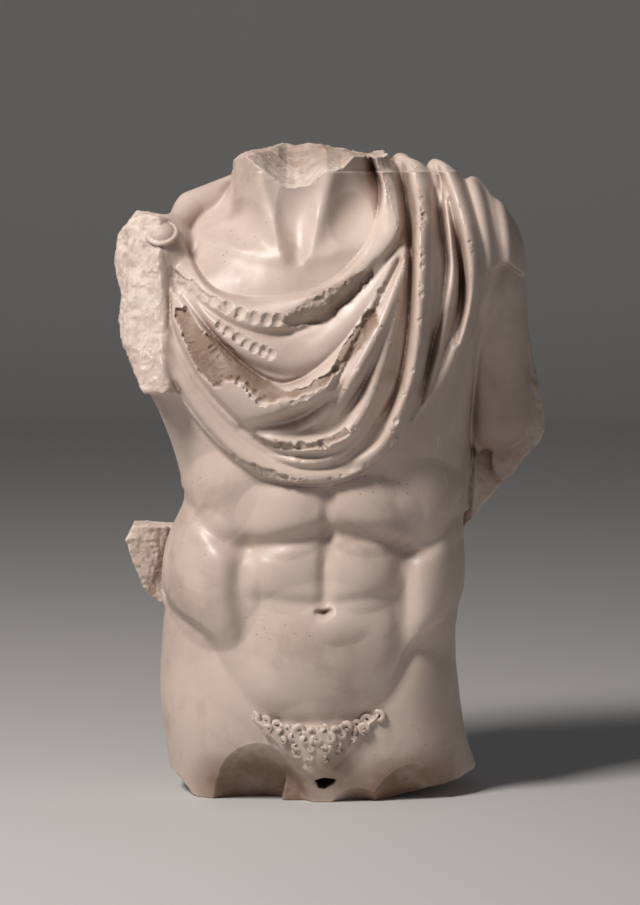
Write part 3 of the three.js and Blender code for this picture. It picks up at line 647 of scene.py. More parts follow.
GATHER = ((-184, -18, 636), (26, 30, 34))    # the cloth bunched under the pin

PIN_RADIUS = 18.0
PIN_PLACE = (-190, -55, 651)
PIN_FACING = (-0.10, -0.70, 0.71)

# Height of the broken neck across it, and how much the break climbs towards the back
NECK_TOP = [
    (-116, 730), (-104, 738), (-88, 744), (-66, 748), (-42, 751), (-10, 749), (20, 744), (46, 740),
    (120, 748),
]
NECK_TOP_RISE = 0.05
# Height of the chip in the front of the neck, across it, and how much its floor rises backwards
NECK_CHIP = [
    (-112, 737), (-96, 733), (-76, 724), (-60, 712), (-48, 704), (-37, 702), (-22, 708), (-12, 716),
    (-2, 724), (16, 722), (30, 732), (46, 738),
]
NECK_CHIP_RISE = 0.38
NECK_CLOAK = 47                              # beyond this the cloak stands beside the neck, unbroken
NECK_PITS = [((-54, -22, 727), 3.6), ((-69, -9, 739), 3.2), ((-78, 4, 744), 2.0)]

# Outline of the stump of a support that once joined the right hip to a staff or an arm
SUPPORT = [
    (-172, 306), (-208, 308), (-227, 309), (-236, 292), (-229, 268), (-220, 245), (-208, 223),
    (-196, 216), (-172, 214),
]
SUPPORT_BACK = 72

# Outline of the two bulges of the right arm's stump, the upper one first
STUMP_BULGES = [
    [(-170, 650), (-184, 668), (-222, 674), (-233, 660), (-243, 646), (-246, 617), (-243, 600),
     (-234, 573), (-170, 566)],
    [(-170, 590), (-236, 577), (-244, 558), (-245, 546), (-238, 531), (-236, 503), (-212, 470),
     (-170, 470)],
]

STUMP_ARRIS = (-227, -62, 590)
STUMP_FACINGS = [(-0.42, -0.90, 0.24), (-0.90, -0.42, 0.10)]     # the front face and the side face
STUMP_BACK = 60
STUMP_INNER_SLOPE = ((-190, -82, 590), (0.74, -0.62, 0.20))      # where it dives under the cloak
STUMP_CLOAK = -196           # the break spares the cloak beyond this and the trunk under the foot
STUMP_FOOT = 524

ARM = ((182, 26, 582), (197, 34, 438), 48, 45)
ARM_STUB = ((203, 62, 366), (46, 30, 66))
# Broken faces: a point, the way it faces, how coarse it is and how far it is moved outwards
TORN_FACE = ((224, 0, 480), (0.80, -0.60, 0.03), 1.1, 3)
ARM_END = ((206, 40, 359), (0.754, -0.05, -0.657), 1.2, 3)
SUPPORT_FACE = ((-200, 14, 262), (0.33, -0.94, 0), 1, 2)
LEFT_THIGH_END = ((72, 0, 0), (0.26, 0, -0.97), 0.5, 1)
RIGHT_THIGH_CORNER = ((-176, 0, 20), (-0.75, -0.1, -0.65), 0.6, 2)
TORN_MIDDLE, TORN_HALF_DEPTH = 46, 34
ARM_INSIDE = 150             # the arm's broken end is marked only beyond this

# The cloak hanging behind the arm, and its pleats
HANGING_CLOTH = ((150, 58, 420), (32, 26, 130))
PLEAT_DEPTH, PLEAT_WIDTH, PLEAT_SLANT = 5.0, 7.0, 0.05

# Outline of the strip down the outside of the left arm where its skin is torn off
TORN_ARM = [
    (190, 600), (190, 372), (206, 356), (228, 380), (245, 400), (254, 420), (254, 431), (245, 479),
    (234, 524), (224, 560), (212, 594),
]

# Where the thighs are broken away below: hollows struck out of the front
SCOOPS = [
    ((-84, -170, -60), (93, 135, 150)), ((108, -168, -50), (88, 126, 122)),
    ((34, -150, -40), (56, 92, 72)),
]
# The black hollow between the thighs, as (x, z), cut straight back to a depth
GROIN_HOLLOW = [(-15, 26), (-11, 17), (-4, 16), (6, 22), (9, 27), (-5, 29)]
GROIN_DEPTH = -40
LUMP = ((-34, -54, 6), (18, 25, 30))

BREAK_MARKED = (-1.8, -0.6)  # how near to a break's face the surface starts and is fully broken


def collar(p):
    rolls = [limb(p, a, b, COLLAR_RADIUS, COLLAR_RADIUS) for a, b in zip(COLLAR, COLLAR[1:])]
    return np.minimum.reduce(rolls)


def pin(p):
    """The round pin that holds the cloak: a low dome inside a rim."""
    facing = np.array(PIN_FACING) / np.linalg.norm(PIN_FACING)
    q = [value - at for value, at in zip(p, PIN_PLACE)]
    out = sum(a * f for a, f in zip(q, facing))
    round_ = np.sqrt(np.maximum(sum(a * a for a in q) - out * out, 0))
    rim = np.hypot(round_ - (PIN_RADIUS - 1.5), out) - 2.8
    foot = np.maximum(round_ - (PIN_RADIUS - 2), np.abs(out + 10) - 10)
    dome = np.hypot(round_, (out + 2) * 1.35) - (PIN_RADIUS - 2)
    return soft_min(soft_min(foot, rim, 1.5), dome, 0.8)


def rough_face(p, rough, point, facing, coarseness, lift):
    """A flat break made uneven by the stone's grain, and moved outwards by a lift."""
    return plane(p, point, facing) + coarseness * rough - lift


def stone(p, seed):
    """Unevenness of a broken face: broad facets that meet in arrises, then grit."""
    return (3.4 * np.abs(uneven(p, 26, seed)) + 1.9 * np.abs(uneven(p, 12, seed + 1))
            + 0.9 * np.abs(uneven(p, 6, seed + 2)) + 0.5 * uneven(p, 3.2, seed + 3))


def left_arm(p, rough):
    """The left arm under the cloak, torn down its outside and broken off below the elbow."""
    torn = soft_max(prism(p, TORN_ARM) + 0.6 * rough - 1, rough_face(p, rough, *TORN_FACE), 2)
    torn = soft_max(torn, np.abs(p[1] - TORN_MIDDLE) - TORN_HALF_DEPTH, 6)
    torn = soft_min(torn, slab(p, *ARM_STUB, 10, 0) + 0.8 * rough - 2, 3)
    pleats = PLEAT_DEPTH * np.abs(np.sin((p[0] - PLEAT_SLANT * p[2]) / PLEAT_WIDTH))
    pleats -= PLEAT_DEPTH / 2
    hanging = slab(p, *HANGING_CLOTH, 12, -3) + pleats
    end = rough_face(p, rough, *ARM_END)
    arm = soft_min(soft_min(limb(p, *ARM), torn, 4), hanging, 5)
    return soft_max(arm, end, 3), [end + 4 * np.maximum(ARM_INSIDE - p[0], 0), torn]


def right_stump(p, rough):
    """The stump of the right arm, two bulges one over the other, and the break that cuts it off.

    The break is two rough faces that meet in an upright arris; it spares the cloak beside them.
    """
    front, side = (rough_face(p, rough, STUMP_ARRIS, facing, 1.3, 3) for facing in STUMP_FACINGS)
    outer = np.minimum(*(prism(p, outline) for outline in STUMP_BULGES)) + 1.2 * rough - 2.5
    faces = soft_max(soft_max(front, side, 2), outer, 3)
    mass = soft_max(soft_max(faces, p[1] - STUMP_BACK, 20), plane(p, *STUMP_INNER_SLOPE), 6)
    spared = 1.4 * np.maximum(p[0] - STUMP_CLOAK, 0) + 1.2 * np.maximum(STUMP_FOOT - p[2], 0)
    return mass, faces - spared


def prism(p, outline):
    """Distance to a shape with the same bulging outline, drawn as (x, z), at every depth."""
    line = np.array([*outline, outline[0]], float)
    ways = np.diff(line, axis=0)
    ways /= np.linalg.norm(ways, axis=1)[:, None]
    mass = np.full(p[0].shape, -1e3, np.float32)
    for (x, z), (dx, dz) in zip(line, ways):
        mass = np.maximum(mass, (p[0] - x) * dz - (p[2] - z) * dx)
    return mass


def support(p, rough):
    outer = prism(p, SUPPORT) + 0.7 * rough - 1
    faces = soft_max(outer, rough_face(p, rough, *SUPPORT_FACE), 3)
    return soft_max(faces, p[1] - SUPPORT_BACK, 6)


def neck_break(p, rough):
    """The broken top of the neck, with a deep chip towards the front and two small pits."""
    x, y, z = p
    beside = np.maximum(x - NECK_CLOAK, 0)
    level = z - along_places(NECK_TOP, x) - NECK_TOP_RISE * (y - 40) + 1.1 * rough - 3
    sill = along_places(NECK_CHIP, x) + NECK_CHIP_RISE * (y + 62) + 2 * beside
    chip = (z - sill + 0.9 * rough - 2) / math.hypot(1, NECK_CHIP_RISE)
    top = soft_max(level, chip, 2)
    for centre, radius in NECK_PITS:
        top = np.maximum(top, radius - np.sqrt(sum((v - c) ** 2 for v, c in zip(p, centre))))
    return top


def lump(p, rough):
    """Marble left standing between the thighs."""
    return slab(p, *LUMP, 3, -8) + 0.6 * rough - 1


TRUNK_BODY = Loft(TRUNK, TRUNK_MID, TRUNK_ROUNDNESS)
NECK_BODY = Loft(NECK, NECK_MID, NECK_ROUNDNESS)


class Statue:
    """The whole form, from the sheets of its front and its back."""

    def __init__(self, roughness):
        self.roughness = roughness
        self.front, self.worn, self.brown = front_sheets()
        self.back = back_sheet()
        self.front_steep, self.back_steep = steepness(self.front), steepness(self.back)

    def spread(self, x, y, z, front, back):
        """Value from two sheets, changing over along the flanks."""
        behind = ramp(y, TRUNK_MID - SIDE_BLEND, TRUNK_MID + SIDE_BLEND)
        return mixed(read(front, x, z), read(back, x, z), behind)

    def masses(self, p):
        x, y, z = p
        f = TRUNK_BODY.distance(x, y, z)
        for *shoulder, blend in SHOULDERS:
            f = soft_min(f, limb(p, *shoulder), blend)
        f = soft_min(f, ellipsoid(p, *LEFT_SHOULDER_CAP), 20)
        neck = NECK_BODY.distance(x, y + (z - NECK_UPRIGHT) * NECK_LEAN, z)
        f = soft_min(f, soft_max(neck, NECK_FOOT - z, 5), 30)
        f = soft_min(f, collar(p), 7)
        f = soft_min(f, ellipsoid(p, *GATHER), 8)
        relief = self.spread(x, y, z, self.front, self.back)
        return (f - relief) / self.spread(x, y, z, self.front_steep, self.back_steep)

    def form(self, x, y, z):
        """Distance to the surface, negative inside, and how surely a place is on a broken face."""
        p = (x, y, z)
        rough = self.roughness * stone(p, 5)
        f = self.masses(p)
        arm, arm_breaks = left_arm(p, rough)
        f = soft_min(f, arm, 6)
        stump, stump_break = right_stump(p, rough)
        f = soft_max(soft_min(f, stump, 8), stump_break, 2)
        stub = support(p, rough)
        f = soft_min(f, stub, 5)
        top = neck_break(p, rough)
        f = soft_max(f, top, 1.2)
        f = soft_min(f, pin(p), 1.2)
        scoops = [-ellipsoid(p, *scoop) + 0.25 * rough for scoop in SCOOPS]
        for scoop in scoops:
            f = soft_max(f, scoop, 1.5)
        ends = [rough_face(p, rough, *face) for face in (LEFT_THIGH_END, RIGHT_THIGH_CORNER)]
        for end in ends:
            f = soft_max(f, end, 2)
        rest = lump(p, rough)
        f = soft_min(f, rest, 2)
        hollow = soft_max(prism(p, GROIN_HOLLOW), y - GROIN_DEPTH, 8)
        f = soft_max(f, -hollow, 3)
        f = np.maximum(f, -z)
        breaks = [*arm_breaks, stump_break, stub, top, *scoops, *ends, rest, -z]
        broken = np.zeros(x.shape, np.float32)
        for cut in breaks:
            broken = np.maximum(broken, ramp(-np.abs(f - cut), *BREAK_MARKED))
        return f.astype(np.float32), broken


# ---- Curls, repeated along rows over the pubis ----

# Rows from the top down: the row from right to left as (x, height), the number of curls, the size
# of a curl and the thickness of its lock
CURL_ROWS = [
    (((-84, 100), (-50, 89), (-14, 85), (24, 89), (58, 100)), 12, 7.6, 3.8),
    (((-68, 88), (-14, 75), (42, 87)), 9, 7.2, 3.6),
    (((-52, 74), (-14, 64), (26, 73)), 6, 6.8, 3.4),
    (((-36, 60), (-14, 53), (10, 60)), 4, 6.4, 3.2),
]
CURL_STAND = 0.2            # how far the middle of a curl stands out of the skin


def on_front(statue, x, z):
    """The place just off the front of the form at a distance across and a height."""
    y = np.arange(-162, 0, 0.5, np.float32)
    f = statue.form(np.full(y.shape, x, np.float32), y, np.full(y.shape, z, np.float32))[0]
    return (x, float(y[np.argmax(f < 0)]) - CURL_STAND, z)


def tree_input(tree, kind, name, default):
    socket = tree.interface.new_socket(name, in_out="INPUT", socket_type=kind)
    socket.default_value = default
    return socket


def add_node(tree, kind, inputs=None, **settings):
    """Adds a node, sets it, and fills its inputs with values or with links from other nodes."""
    made = tree.nodes.new(kind)
    for name, value in settings.items():
        setattr(made, name, value)
    for key, value in (inputs or {}).items():
        if isinstance(value, bpy.types.NodeSocket):
            tree.links.new(value, made.inputs[key])
        else:
            made.inputs[key].default_value = value
    return made


def curl_tree(marble):
    """Geometry Nodes that set spiral locks along a row drawn as a line of points."""
    tree = bpy.data.node_groups.new("Curls along a row", "GeometryNodeTree")
    tree.interface.new_socket("Row", in_out="INPUT", socket_type="NodeSocketGeometry")
    tree_input(tree, "NodeSocketInt", "Curls", 8)
    tree_input(tree, "NodeSocketFloat", "Size", 8.0)
    tree_input(tree, "NodeSocketFloat", "Thickness", 3.0)
    tree_input(tree, "NodeSocketInt", "Seed", 1)
    tree.interface.new_socket("Geometry", in_out="OUTPUT", socket_type="NodeSocketGeometry")
    given = tree.nodes.new("NodeGroupInput").outputs
    row = add_node(tree, "GeometryNodeMeshToCurve", {"Mesh": given["Row"]})
    places = add_node(tree, "GeometryNodeResampleCurve", {
        "Curve": row.outputs[0], "Count": given["Curls"]})
    lock = add_node(tree, "GeometryNodeCurveSpiral", {
        "Resolution": 14, "Rotations": 1.1, "Start Radius": 0.14, "End Radius": 0.95, "Height": 0.3})
    share = add_node(tree, "GeometryNodeSplineParameter")
    taper = add_node(tree, "ShaderNodeMapRange", {
        "Value": share.outputs["Factor"], "To Min": 1.1, "To Max": 0.7})
    tapered = add_node(tree, "GeometryNodeSetCurveRadius", {
        "Curve": lock.outputs[0], "Radius": taper.outputs[0]})
    slim = add_node(tree, "ShaderNodeMath", {0: given["Thickness"], 1: given["Size"]},
                    operation="DIVIDE")
    strand = add_node(tree, "GeometryNodeCurvePrimitiveCircle", {
        "Resolution": 8, "Radius": slim.outputs[0]})
    tube = add_node(tree, "GeometryNodeCurveToMesh", {
        "Curve": tapered.outputs[0], "Profile Curve": strand.outputs[0], "Fill Caps": True})
    facing = add_node(tree, "GeometryNodeTransform", {
        "Geometry": tube.outputs[0], "Rotation": (-math.pi / 2, 0, 0)})
    turn = add_node(tree, "FunctionNodeRandomValue", {
        "Min": (-0.2, -3.1, -0.25), "Max": (0.3, 3.1, 0.25), "Seed": given["Seed"]},
        data_type="FLOAT_VECTOR")
    size = add_node(tree, "FunctionNodeRandomValue", {2: 0.85, 3: 1.12, "Seed": given["Seed"]},
                    data_type="FLOAT")
    scale = add_node(tree, "ShaderNodeMath", {0: size.outputs[1], 1: given["Size"]},
                     operation="MULTIPLY")
    spread = add_node(tree, "GeometryNodeInstanceOnPoints", {
        "Points": places.outputs[0], "Instance": facing.outputs[0], "Scale": scale.outputs[0]})
    tree.links.new(turn.outputs[0], spread.inputs["Rotation"])
    real = add_node(tree, "GeometryNodeRealizeInstances", {"Geometry": spread.outputs[0]})
    finish = add_node(tree, "GeometryNodeSetMaterial", {
        "Geometry": real.outputs[0], "Material": marble})
    result = tree.nodes.new("NodeGroupOutput")
    tree.links.new(finish.outputs[0], result.inputs[0])
    return tree


def modelled(holder, tree, values, name):
    """Runs a tree on an object with its inputs set, and keeps the result as a plain mesh."""
    modifier = holder.modifiers.new(tree.name, "NODES")
    modifier.node_group = tree
    sockets = {item.name: item.identifier for item in tree.interface.items_tree}
    for key, value in values.items():
        modifier[sockets[key]] = value
    seen = bpy.context.evaluated_depsgraph_get()
    mesh = bpy.data.meshes.new_from_object(holder.evaluated_get(seen), depsgraph=seen)
    mesh.name = name
    holder.modifiers.remove(modifier)
    return mesh


def curl_meshes(statue, marble, seed):
    """The locks of every row, each row a mesh of its own, lying on the skin."""
    tree = curl_tree(marble)
    curls = []
    for i, (course, count, size, thickness) in enumerate(CURL_ROWS):
        points = [on_front(statue, x, z) for x, z in flow(course)]
        row = bpy.data.meshes.new(f"row {i}")
        row.from_pydata(points, [(k, k + 1) for k in range(len(points) - 1)], [])
        holder = bpy.data.objects.new(f"row {i}", row)
        bpy.context.scene.collection.objects.link(holder)
        curls.append(modelled(holder, tree, {
            "Curls": count, "Size": size, "Thickness": thickness, "Seed": seed + i}, f"curls {i}"))
        bpy.data.objects.remove(holder)
    return curls


# ---- Cutting the form out of the block ----

BLOCK_LOW = np.array([-262.0, -164.0, -8.0])
BLOCK_HIGH = np.array([262.0, 164.0, 764.0])
COARSE_STEP = 2              # coarse places lie this many fine steps apart
NEAR_SURFACE = 9.0           # fine places are worked out this near the surface
BACKGROUND = 20.0


def axes(low, high, step):
    return [np.arange(a, b + step / 2, step, np.float32) for a, b in zip(low, high)]


def evaluate(statue, lines):
    """The form at every crossing of three lists of places, a few sheets at a time."""
    whole = np.empty([len(line) for line in lines], np.float32)
    for i, x in enumerate(lines[0]):
        y, z = np.meshgrid(lines[1], lines[2], indexing="ij")
        whole[i] = statue.form(np.full(y.shape, x, np.float32), y, z)[0]
    return whole


def cut_block(statue, step):
    """Places of the surface and its four-sided faces."""
    fine = axes(BLOCK_LOW, BLOCK_HIGH, step)
    coarse = [line[::COARSE_STEP] for line in fine]
    rough_form = evaluate(statue, coarse)
    near = np.abs(rough_form) < NEAR_SURFACE
    for axis in range(3):
        near = near | np.roll(near, 1, axis) | np.roll(near, -1, axis)
    pick = [np.minimum((np.arange(len(line)) + 1) // COARSE_STEP, len(sparse) - 1)
            for line, sparse in zip(fine, coarse)]
    whole = np.where(rough_form[np.ix_(*pick)] > 0, BACKGROUND, -BACKGROUND).astype(np.float32)
    i, j, k = np.nonzero(near[np.ix_(*pick)])
    for start in range(0, len(i), 400000):
        part = slice(start, start + 400000)
        a, b, c = i[part], j[part], k[part]
        whole[a, b, c] = statue.form(fine[0][a], fine[1][b], fine[2][c])[0]
    grid = openvdb.FloatGrid(background=BACKGROUND)
    grid.copyFromArray(whole)
    places, faces = grid.convertToQuads(isovalue=0.0)
    return places * step + BLOCK_LOW, faces


def mesh_of(name, places, faces):
    mesh = bpy.data.meshes.new(name)
    mesh.vertices.add(len(places))
    mesh.vertices.foreach_set("co", (places * MILLIMETRE).astype(np.float32).ravel())
    mesh.loops.add(faces.size)
    mesh.loops.foreach_set("vertex_index", faces.astype(np.int32).ravel())
    mesh.polygons.add(len(faces))
    mesh.polygons.foreach_set("loop_start", np.arange(0, faces.size, 4, dtype=np.int32))
    mesh.update(calc_edges=True)
    mesh.validate()
    return mesh


def thinned(mesh, most):
    """The same mesh with its flattest stretches in fewer, larger triangles."""
    holder = bpy.data.objects.new("thinning", mesh)
    bpy.context.scene.collection.objects.link(holder)
    count = sum(len(face.vertices) - 2 for face in mesh.polygons)
    modifier = holder.modifiers.new("Thin", "DECIMATE")
    modifier.ratio = min(1.0, most / count)
    seen = bpy.context.evaluated_depsgraph_get()
    result = bpy.data.meshes.new_from_object(holder.evaluated_get(seen), depsgraph=seen)
    bpy.data.objects.remove(holder)
    bpy.data.meshes.remove(mesh)
    return result


# ---- What the marble needs to know at each point of the surface ----

HOLLOW_REACHES = (5.0, 14.0, 32.0)    # how far out the surface looks for marble that closes it in

# Brown stains: centre, radii and strength
STAINS = [
    ((-20, 0, 745), (90, 90, 26), 0.55), ((206, 40, 460), (46, 60, 120), 0.55),
    ((-84, -78, 8), (84, 46, 56), 1.0), ((92, -78, 14), (88, 46, 40), 1.0),
    ((10, -110, 40), (30, 40, 24), 0.6), ((-100, -90, 560), (70, 60, 60), 0.12),
    ((-40, -60, 600), (110, 70, 50), 0.18),
]


UNDERSIDE = 0.5          # points lower than this stay where they are, on the flat underside
SLOPE_STEP = 0.9             # how far apart the form is compared to find which way it faces


def true_normals(statue, places, around):
    """Which way the form itself faces at points that lie on it, and how far off it they are."""
    ways = np.empty_like(places)
    for axis in range(3):
        shift = np.zeros(3, np.float32)
        shift[axis] = SLOPE_STEP
        ways[:, axis] = (statue.form(*(places + shift).T)[0] - statue.form(*(places - shift).T)[0])
    ways /= np.linalg.norm(ways, axis=1)[:, None] + 1e-6
    depth = statue.form(*places.T)[0]
    agreeing = ramp((ways * around).sum(axis=1), -0.4, 0.1) * ramp(-np.abs(depth), -1.9, -1.2)
    ways = around + (ways - around) * agreeing[:, None]
    ways /= np.linalg.norm(ways, axis=1)[:, None] + 1e-6
    return ways, ways * (depth * agreeing)[:, None]


def surface_values(mesh, statue):
    count = len(mesh.vertices)
    places = np.empty(count * 3, np.float32)
    mesh.vertices.foreach_get("co", places)
    normals = np.empty(count * 3, np.float32)
    mesh.vertices.foreach_get("normal", normals)
    places = places.reshape(-1, 3) / MILLIMETRE
    normals, off = true_normals(statue, places, normals.reshape(-1, 3))
    places = places - off * (places[:, 2:] > UNDERSIDE)
    mesh.vertices.foreach_set("co", (places * MILLIMETRE).ravel())
    mesh.normals_split_custom_set_from_vertices(normals.tolist())
    x, y, z = places.T
    broken = statue.form(x, y, z)[1]
    worn = statue.spread(x, y, z, statue.worn, bare())
    # How closely the marble closes each point in, at three reaches; the colour group darkens by it as
    # grime and as painted shade in hollows and creases
    hollow = []
    for reach in HOLLOW_REACHES:
        out = places + normals * reach
        hollow.append(np.clip(1 - statue.form(*out.T)[0] / reach, 0, 1))
    inward = places - normals * 5
    crest = np.clip(1 + statue.form(*inward.T)[0] / 5, 0, 1)
    brown = statue.spread(x, y, z, statue.brown, bare())
    for centre, radii, strength in STAINS:
        gap = sum(((value - c) / r) ** 2 for value, c, r in zip((x, y, z), centre, radii))
        brown = np.maximum(brown, strength * ramp(-np.sqrt(gap), -1.3, -0.5))
    values = {
        "broken": np.maximum(broken, worn),
        "hollow": 0.25 * hollow[0] + 0.4 * hollow[1] + 0.35 * hollow[2],
        "crease": hollow[0],
        "crest": crest,
        "brown": brown,
    }
    for name, value in values.items():
        layer = mesh.attributes.new(name, "FLOAT", "POINT")
        layer.data.foreach_set("value", value.astype(np.float32))


def with_curls(mesh, curls):
    """One mesh of the carved surface and the locks that lie on it."""
    bm = bmesh.new()
    bm.from_mesh(mesh)
    for curl in curls:
        curl.transform(Matrix.Scale(MILLIMETRE, 4))
        bm.from_mesh(curl)
    bmesh.ops.triangulate(bm, faces=bm.faces)
    bm.to_mesh(mesh)
    bm.free()
    return mesh


# ---- Marble ----

def new_group(name, inputs, outputs):
    group = bpy.data.node_groups.new(name, "ShaderNodeTree")
    for label, kind, default in inputs:
        tree_input(group, kind, label, default)
    for label, kind in outputs:
        group.interface.new_socket(label, in_out="OUTPUT", socket_type=kind)
    return group, group.nodes.new("NodeGroupInput").outputs, group.nodes.new("NodeGroupOutput").inputs


def sums(tree, operation, a, b=0.0, clamp=False):
    return add_node(tree, "ShaderNodeMath", {0: a, 1: b}, operation=operation,
                    use_clamp=clamp).outputs[0]


def levels(tree, value, low, high, to_low=0.0, to_high=1.0):
    """Spreads a value between two limits over a new range, smoothly."""
    return add_node(tree, "ShaderNodeMapRange", {
        "Value": value, "From Min": low, "From Max": high, "To Min": to_low, "To Max": to_high},
        interpolation_type="SMOOTHSTEP").outputs[0]


def blend_colours(tree, share, below, above, way="MIX"):
    return add_node(tree, "ShaderNodeMix", {0: share, 6: below, 7: above}, data_type="RGBA",
                    blend_type=way, clamp_factor=True).outputs[2]


def mottle(tree, places, scale, detail=4.0, stretch=0.0):
    return add_node(tree, "ShaderNodeTexNoise", {
        "Vector": places, "Scale": scale, "Detail": detail, "Roughness": 0.58,
        "Distortion": stretch}).outputs[0]


def marble_colour_group():
    """Colour of old marble: clouds, veins, stains, grime and painted shade in the hollows and creases,
    and pale broken faces.
    """
    group, given, out = new_group("Old marble colour", [
        ("Place", "NodeSocketVector", (0, 0, 0)), ("Hollow", "NodeSocketFloat", 0.0),
        ("Crease", "NodeSocketFloat", 0.0), ("Crest", "NodeSocketFloat", 0.0),
        ("Broken", "NodeSocketFloat", 0.0), ("Brown", "NodeSocketFloat", 0.0),
        ("Marble", "NodeSocketColor", (1, 1, 1, 1)), ("Cloud", "NodeSocketColor", (1, 1, 1, 1)),
        ("Stain", "NodeSocketColor", (1, 1, 1, 1)), ("Grime And Painted Shade", "NodeSocketColor", (1, 1, 1, 1)),
        ("Fresh Break", "NodeSocketColor", (1, 1, 1, 1)),
    ], [("Colour", "NodeSocketColor")])
    place = given["Place"]
    clouds = levels(group, mottle(group, place, 6.5, 5.0, 0.6), 0.38, 0.66)
    colour = blend_colours(group, sums(group, "MULTIPLY", clouds, 0.75),
                           given["Marble"], given["Cloud"])
    patches = levels(group, mottle(group, place, 11.0, 6.0, 0.3), 0.52, 0.74, 0.0, 0.42)
    colour = blend_colours(group, patches, colour, given["Stain"])
    pale = sums(group, "MULTIPLY", given["Crest"], 0.35)
    colour = blend_colours(group, pale, colour, given["Fresh Break"])
    rock = blend_colours(group, levels(group, mottle(group, place, 70.0, 5.0), 0.35, 0.7),
                         given["Fresh Break"], given["Cloud"])
    colour = blend_colours(group, sums(group, "MULTIPLY", given["Broken"], 0.8), colour, rock)
    blotch = levels(group, mottle(group, place, 34.0, 6.0), 0.3, 0.62, 0.72, 1.0)
    browned = sums(group, "MULTIPLY", given["Brown"], blotch)
    colour = blend_colours(group, browned, colour, given["Stain"])
    # Grime and painted shade: the more closely the marble closes a point in, the more of the grime
    # colour it takes
    dirt_and_painted_shade = levels(group, given["Hollow"], 0.28, 0.95, 0.0, 0.75)
    uneven_dirt_and_painted_shade = sums(group, "MULTIPLY", dirt_and_painted_shade, levels(group, mottle(group, place, 24.0, 5.0), 0.2,
                                                       0.7, 0.65, 1.0))
    colour = blend_colours(group, uneven_dirt_and_painted_shade, colour, given["Grime And Painted Shade"])
    # Painted shade along narrow creases, with their grime, in the grime colour
    line = levels(group, given["Crease"], 0.4, 1.0, 0.0, 0.55)
    colour = blend_colours(group, line, colour, given["Grime And Painted Shade"])
    specks = add_node(group, "ShaderNodeTexVoronoi", {"Vector": place, "Scale": 95.0}).outputs[0]
    sparse = levels(group, mottle(group, place, 9.0, 3.0), 0.5, 0.66)
    speck = sums(group, "MULTIPLY", levels(group, specks, 0.06, 0.14, 0.6, 0.0), sparse)
    group.links.new(blend_colours(group, speck, colour, given["Grime And Painted Shade"]), out["Colour"])
    return group


def stone_grit_group():
    """Height of the finest unevenness: crystals, pits and tool marks."""
    group, given, out = new_group("Stone grit", [
        ("Place", "NodeSocketVector", (0, 0, 0)), ("Broken", "NodeSocketFloat", 0.0),
    ], [("Height", "NodeSocketFloat"), ("Dullness", "NodeSocketFloat")])
    place = given["Place"]
    crystals = mottle(group, place, 420.0, 4.0)
    lumps = mottle(group, place, 120.0, 5.0)
    coarse = sums(group, "MULTIPLY", sums(group, "ADD", crystals, lumps), given["Broken"])
    waves = sums(group, "MULTIPLY", mottle(group, place, 38.0, 3.0), 0.5)
    pits = add_node(group, "ShaderNodeTexVoronoi", {"Vector": place, "Scale": 160.0}).outputs[0]
    pit = sums(group, "MULTIPLY", levels(group, pits, 0.02, 0.16, -0.6, 0.0),
               levels(group, mottle(group, place, 14.0, 3.0), 0.45, 0.65))
    height = sums(group, "ADD", sums(group, "ADD", sums(group, "MULTIPLY", coarse, 1.4), waves), pit)
    group.links.new(height, out["Height"])
    dull = levels(group, mottle(group, place, 28.0, 5.0), 0.3, 0.75, 0.0, 0.2)
    group.links.new(sums(group, "ADD", dull, sums(group, "MULTIPLY", given["Broken"], 0.35)),
                    out["Dullness"])
    return group


def colour_of(values):
    return (*values, 1.0)


def marble_material(settings):
    material = bpy.data.materials.new("Old marble")
    material.use_nodes = True
    tree = material.node_tree
    tree.nodes.clear()
    place = tree.nodes.new("ShaderNodeTexCoord").outputs["Object"]
    values = {name: add_node(tree, "ShaderNodeAttribute", attribute_name=name).outputs["Fac"]
              for name in ("hollow", "crease", "crest", "broken", "brown")}
    colour = add_node(tree, "ShaderNodeGroup", node_tree=marble_colour_group())
    grit = add_node(tree, "ShaderNodeGroup", node_tree=stone_grit_group())
    for label, value in {"Place": place, "Hollow": values["hollow"], "Crease": values["crease"],
                         "Crest": values["crest"], "Broken": values["broken"],
                         "Brown": values["brown"]}.items():
        tree.links.new(value, colour.inputs[label])
    for label, value in {"Marble": settings.marble, "Cloud": settings.cloud, "Stain": settings.stain,
                         "Grime And Painted Shade": settings.grime_and_painted_shade, "Fresh Break": settings.fresh}.items():
        colour.inputs[label].default_value = colour_of(value)
    tree.links.new(place, grit.inputs["Place"])
    tree.links.new(values["broken"], grit.inputs["Broken"])
    bump = add_node(tree, "ShaderNodeBump", {
        "Height": grit.outputs["Height"], "Strength": 0.45, "Distance": 0.0008})
    gloss = sums(tree, "ADD", grit.outputs["Dullness"], settings.polish, clamp=True)
    surface = add_node(tree, "ShaderNodeBsdfPrincipled", {
        "Base Color": colour.outputs["Colour"], "Roughness": gloss, "Normal": bump.outputs[0],
        "Specular IOR Level": 0.5, "IOR": 1.5})
    output = tree.nodes.new("ShaderNodeOutputMaterial")
    tree.links.new(surface.outputs[0], output.inputs[0])
    return material


def plain_material(name, colour, roughness):
    material = bpy.data.materials.new(name)
    material.use_nodes = True
    surface = material.node_tree.nodes["Principled BSDF"]
    surface.inputs["Base Color"].default_value = colour_of(colour)
    surface.inputs["Roughness"].default_value = roughness
    return material


# ---- Studio ----

SENSOR = 36.0
FRAME_HEIGHT = 905
VIEW_DISTANCE = 4.5               # metres from the statue's middle line
VIEW_DROP = 5.0                   # degrees that the camera looks down
VIEW_SCALE = 1.162                # millimetres of the statue to one line of the frame
VIEW_TARGET = (-0.0093, 0.0, 0.395)


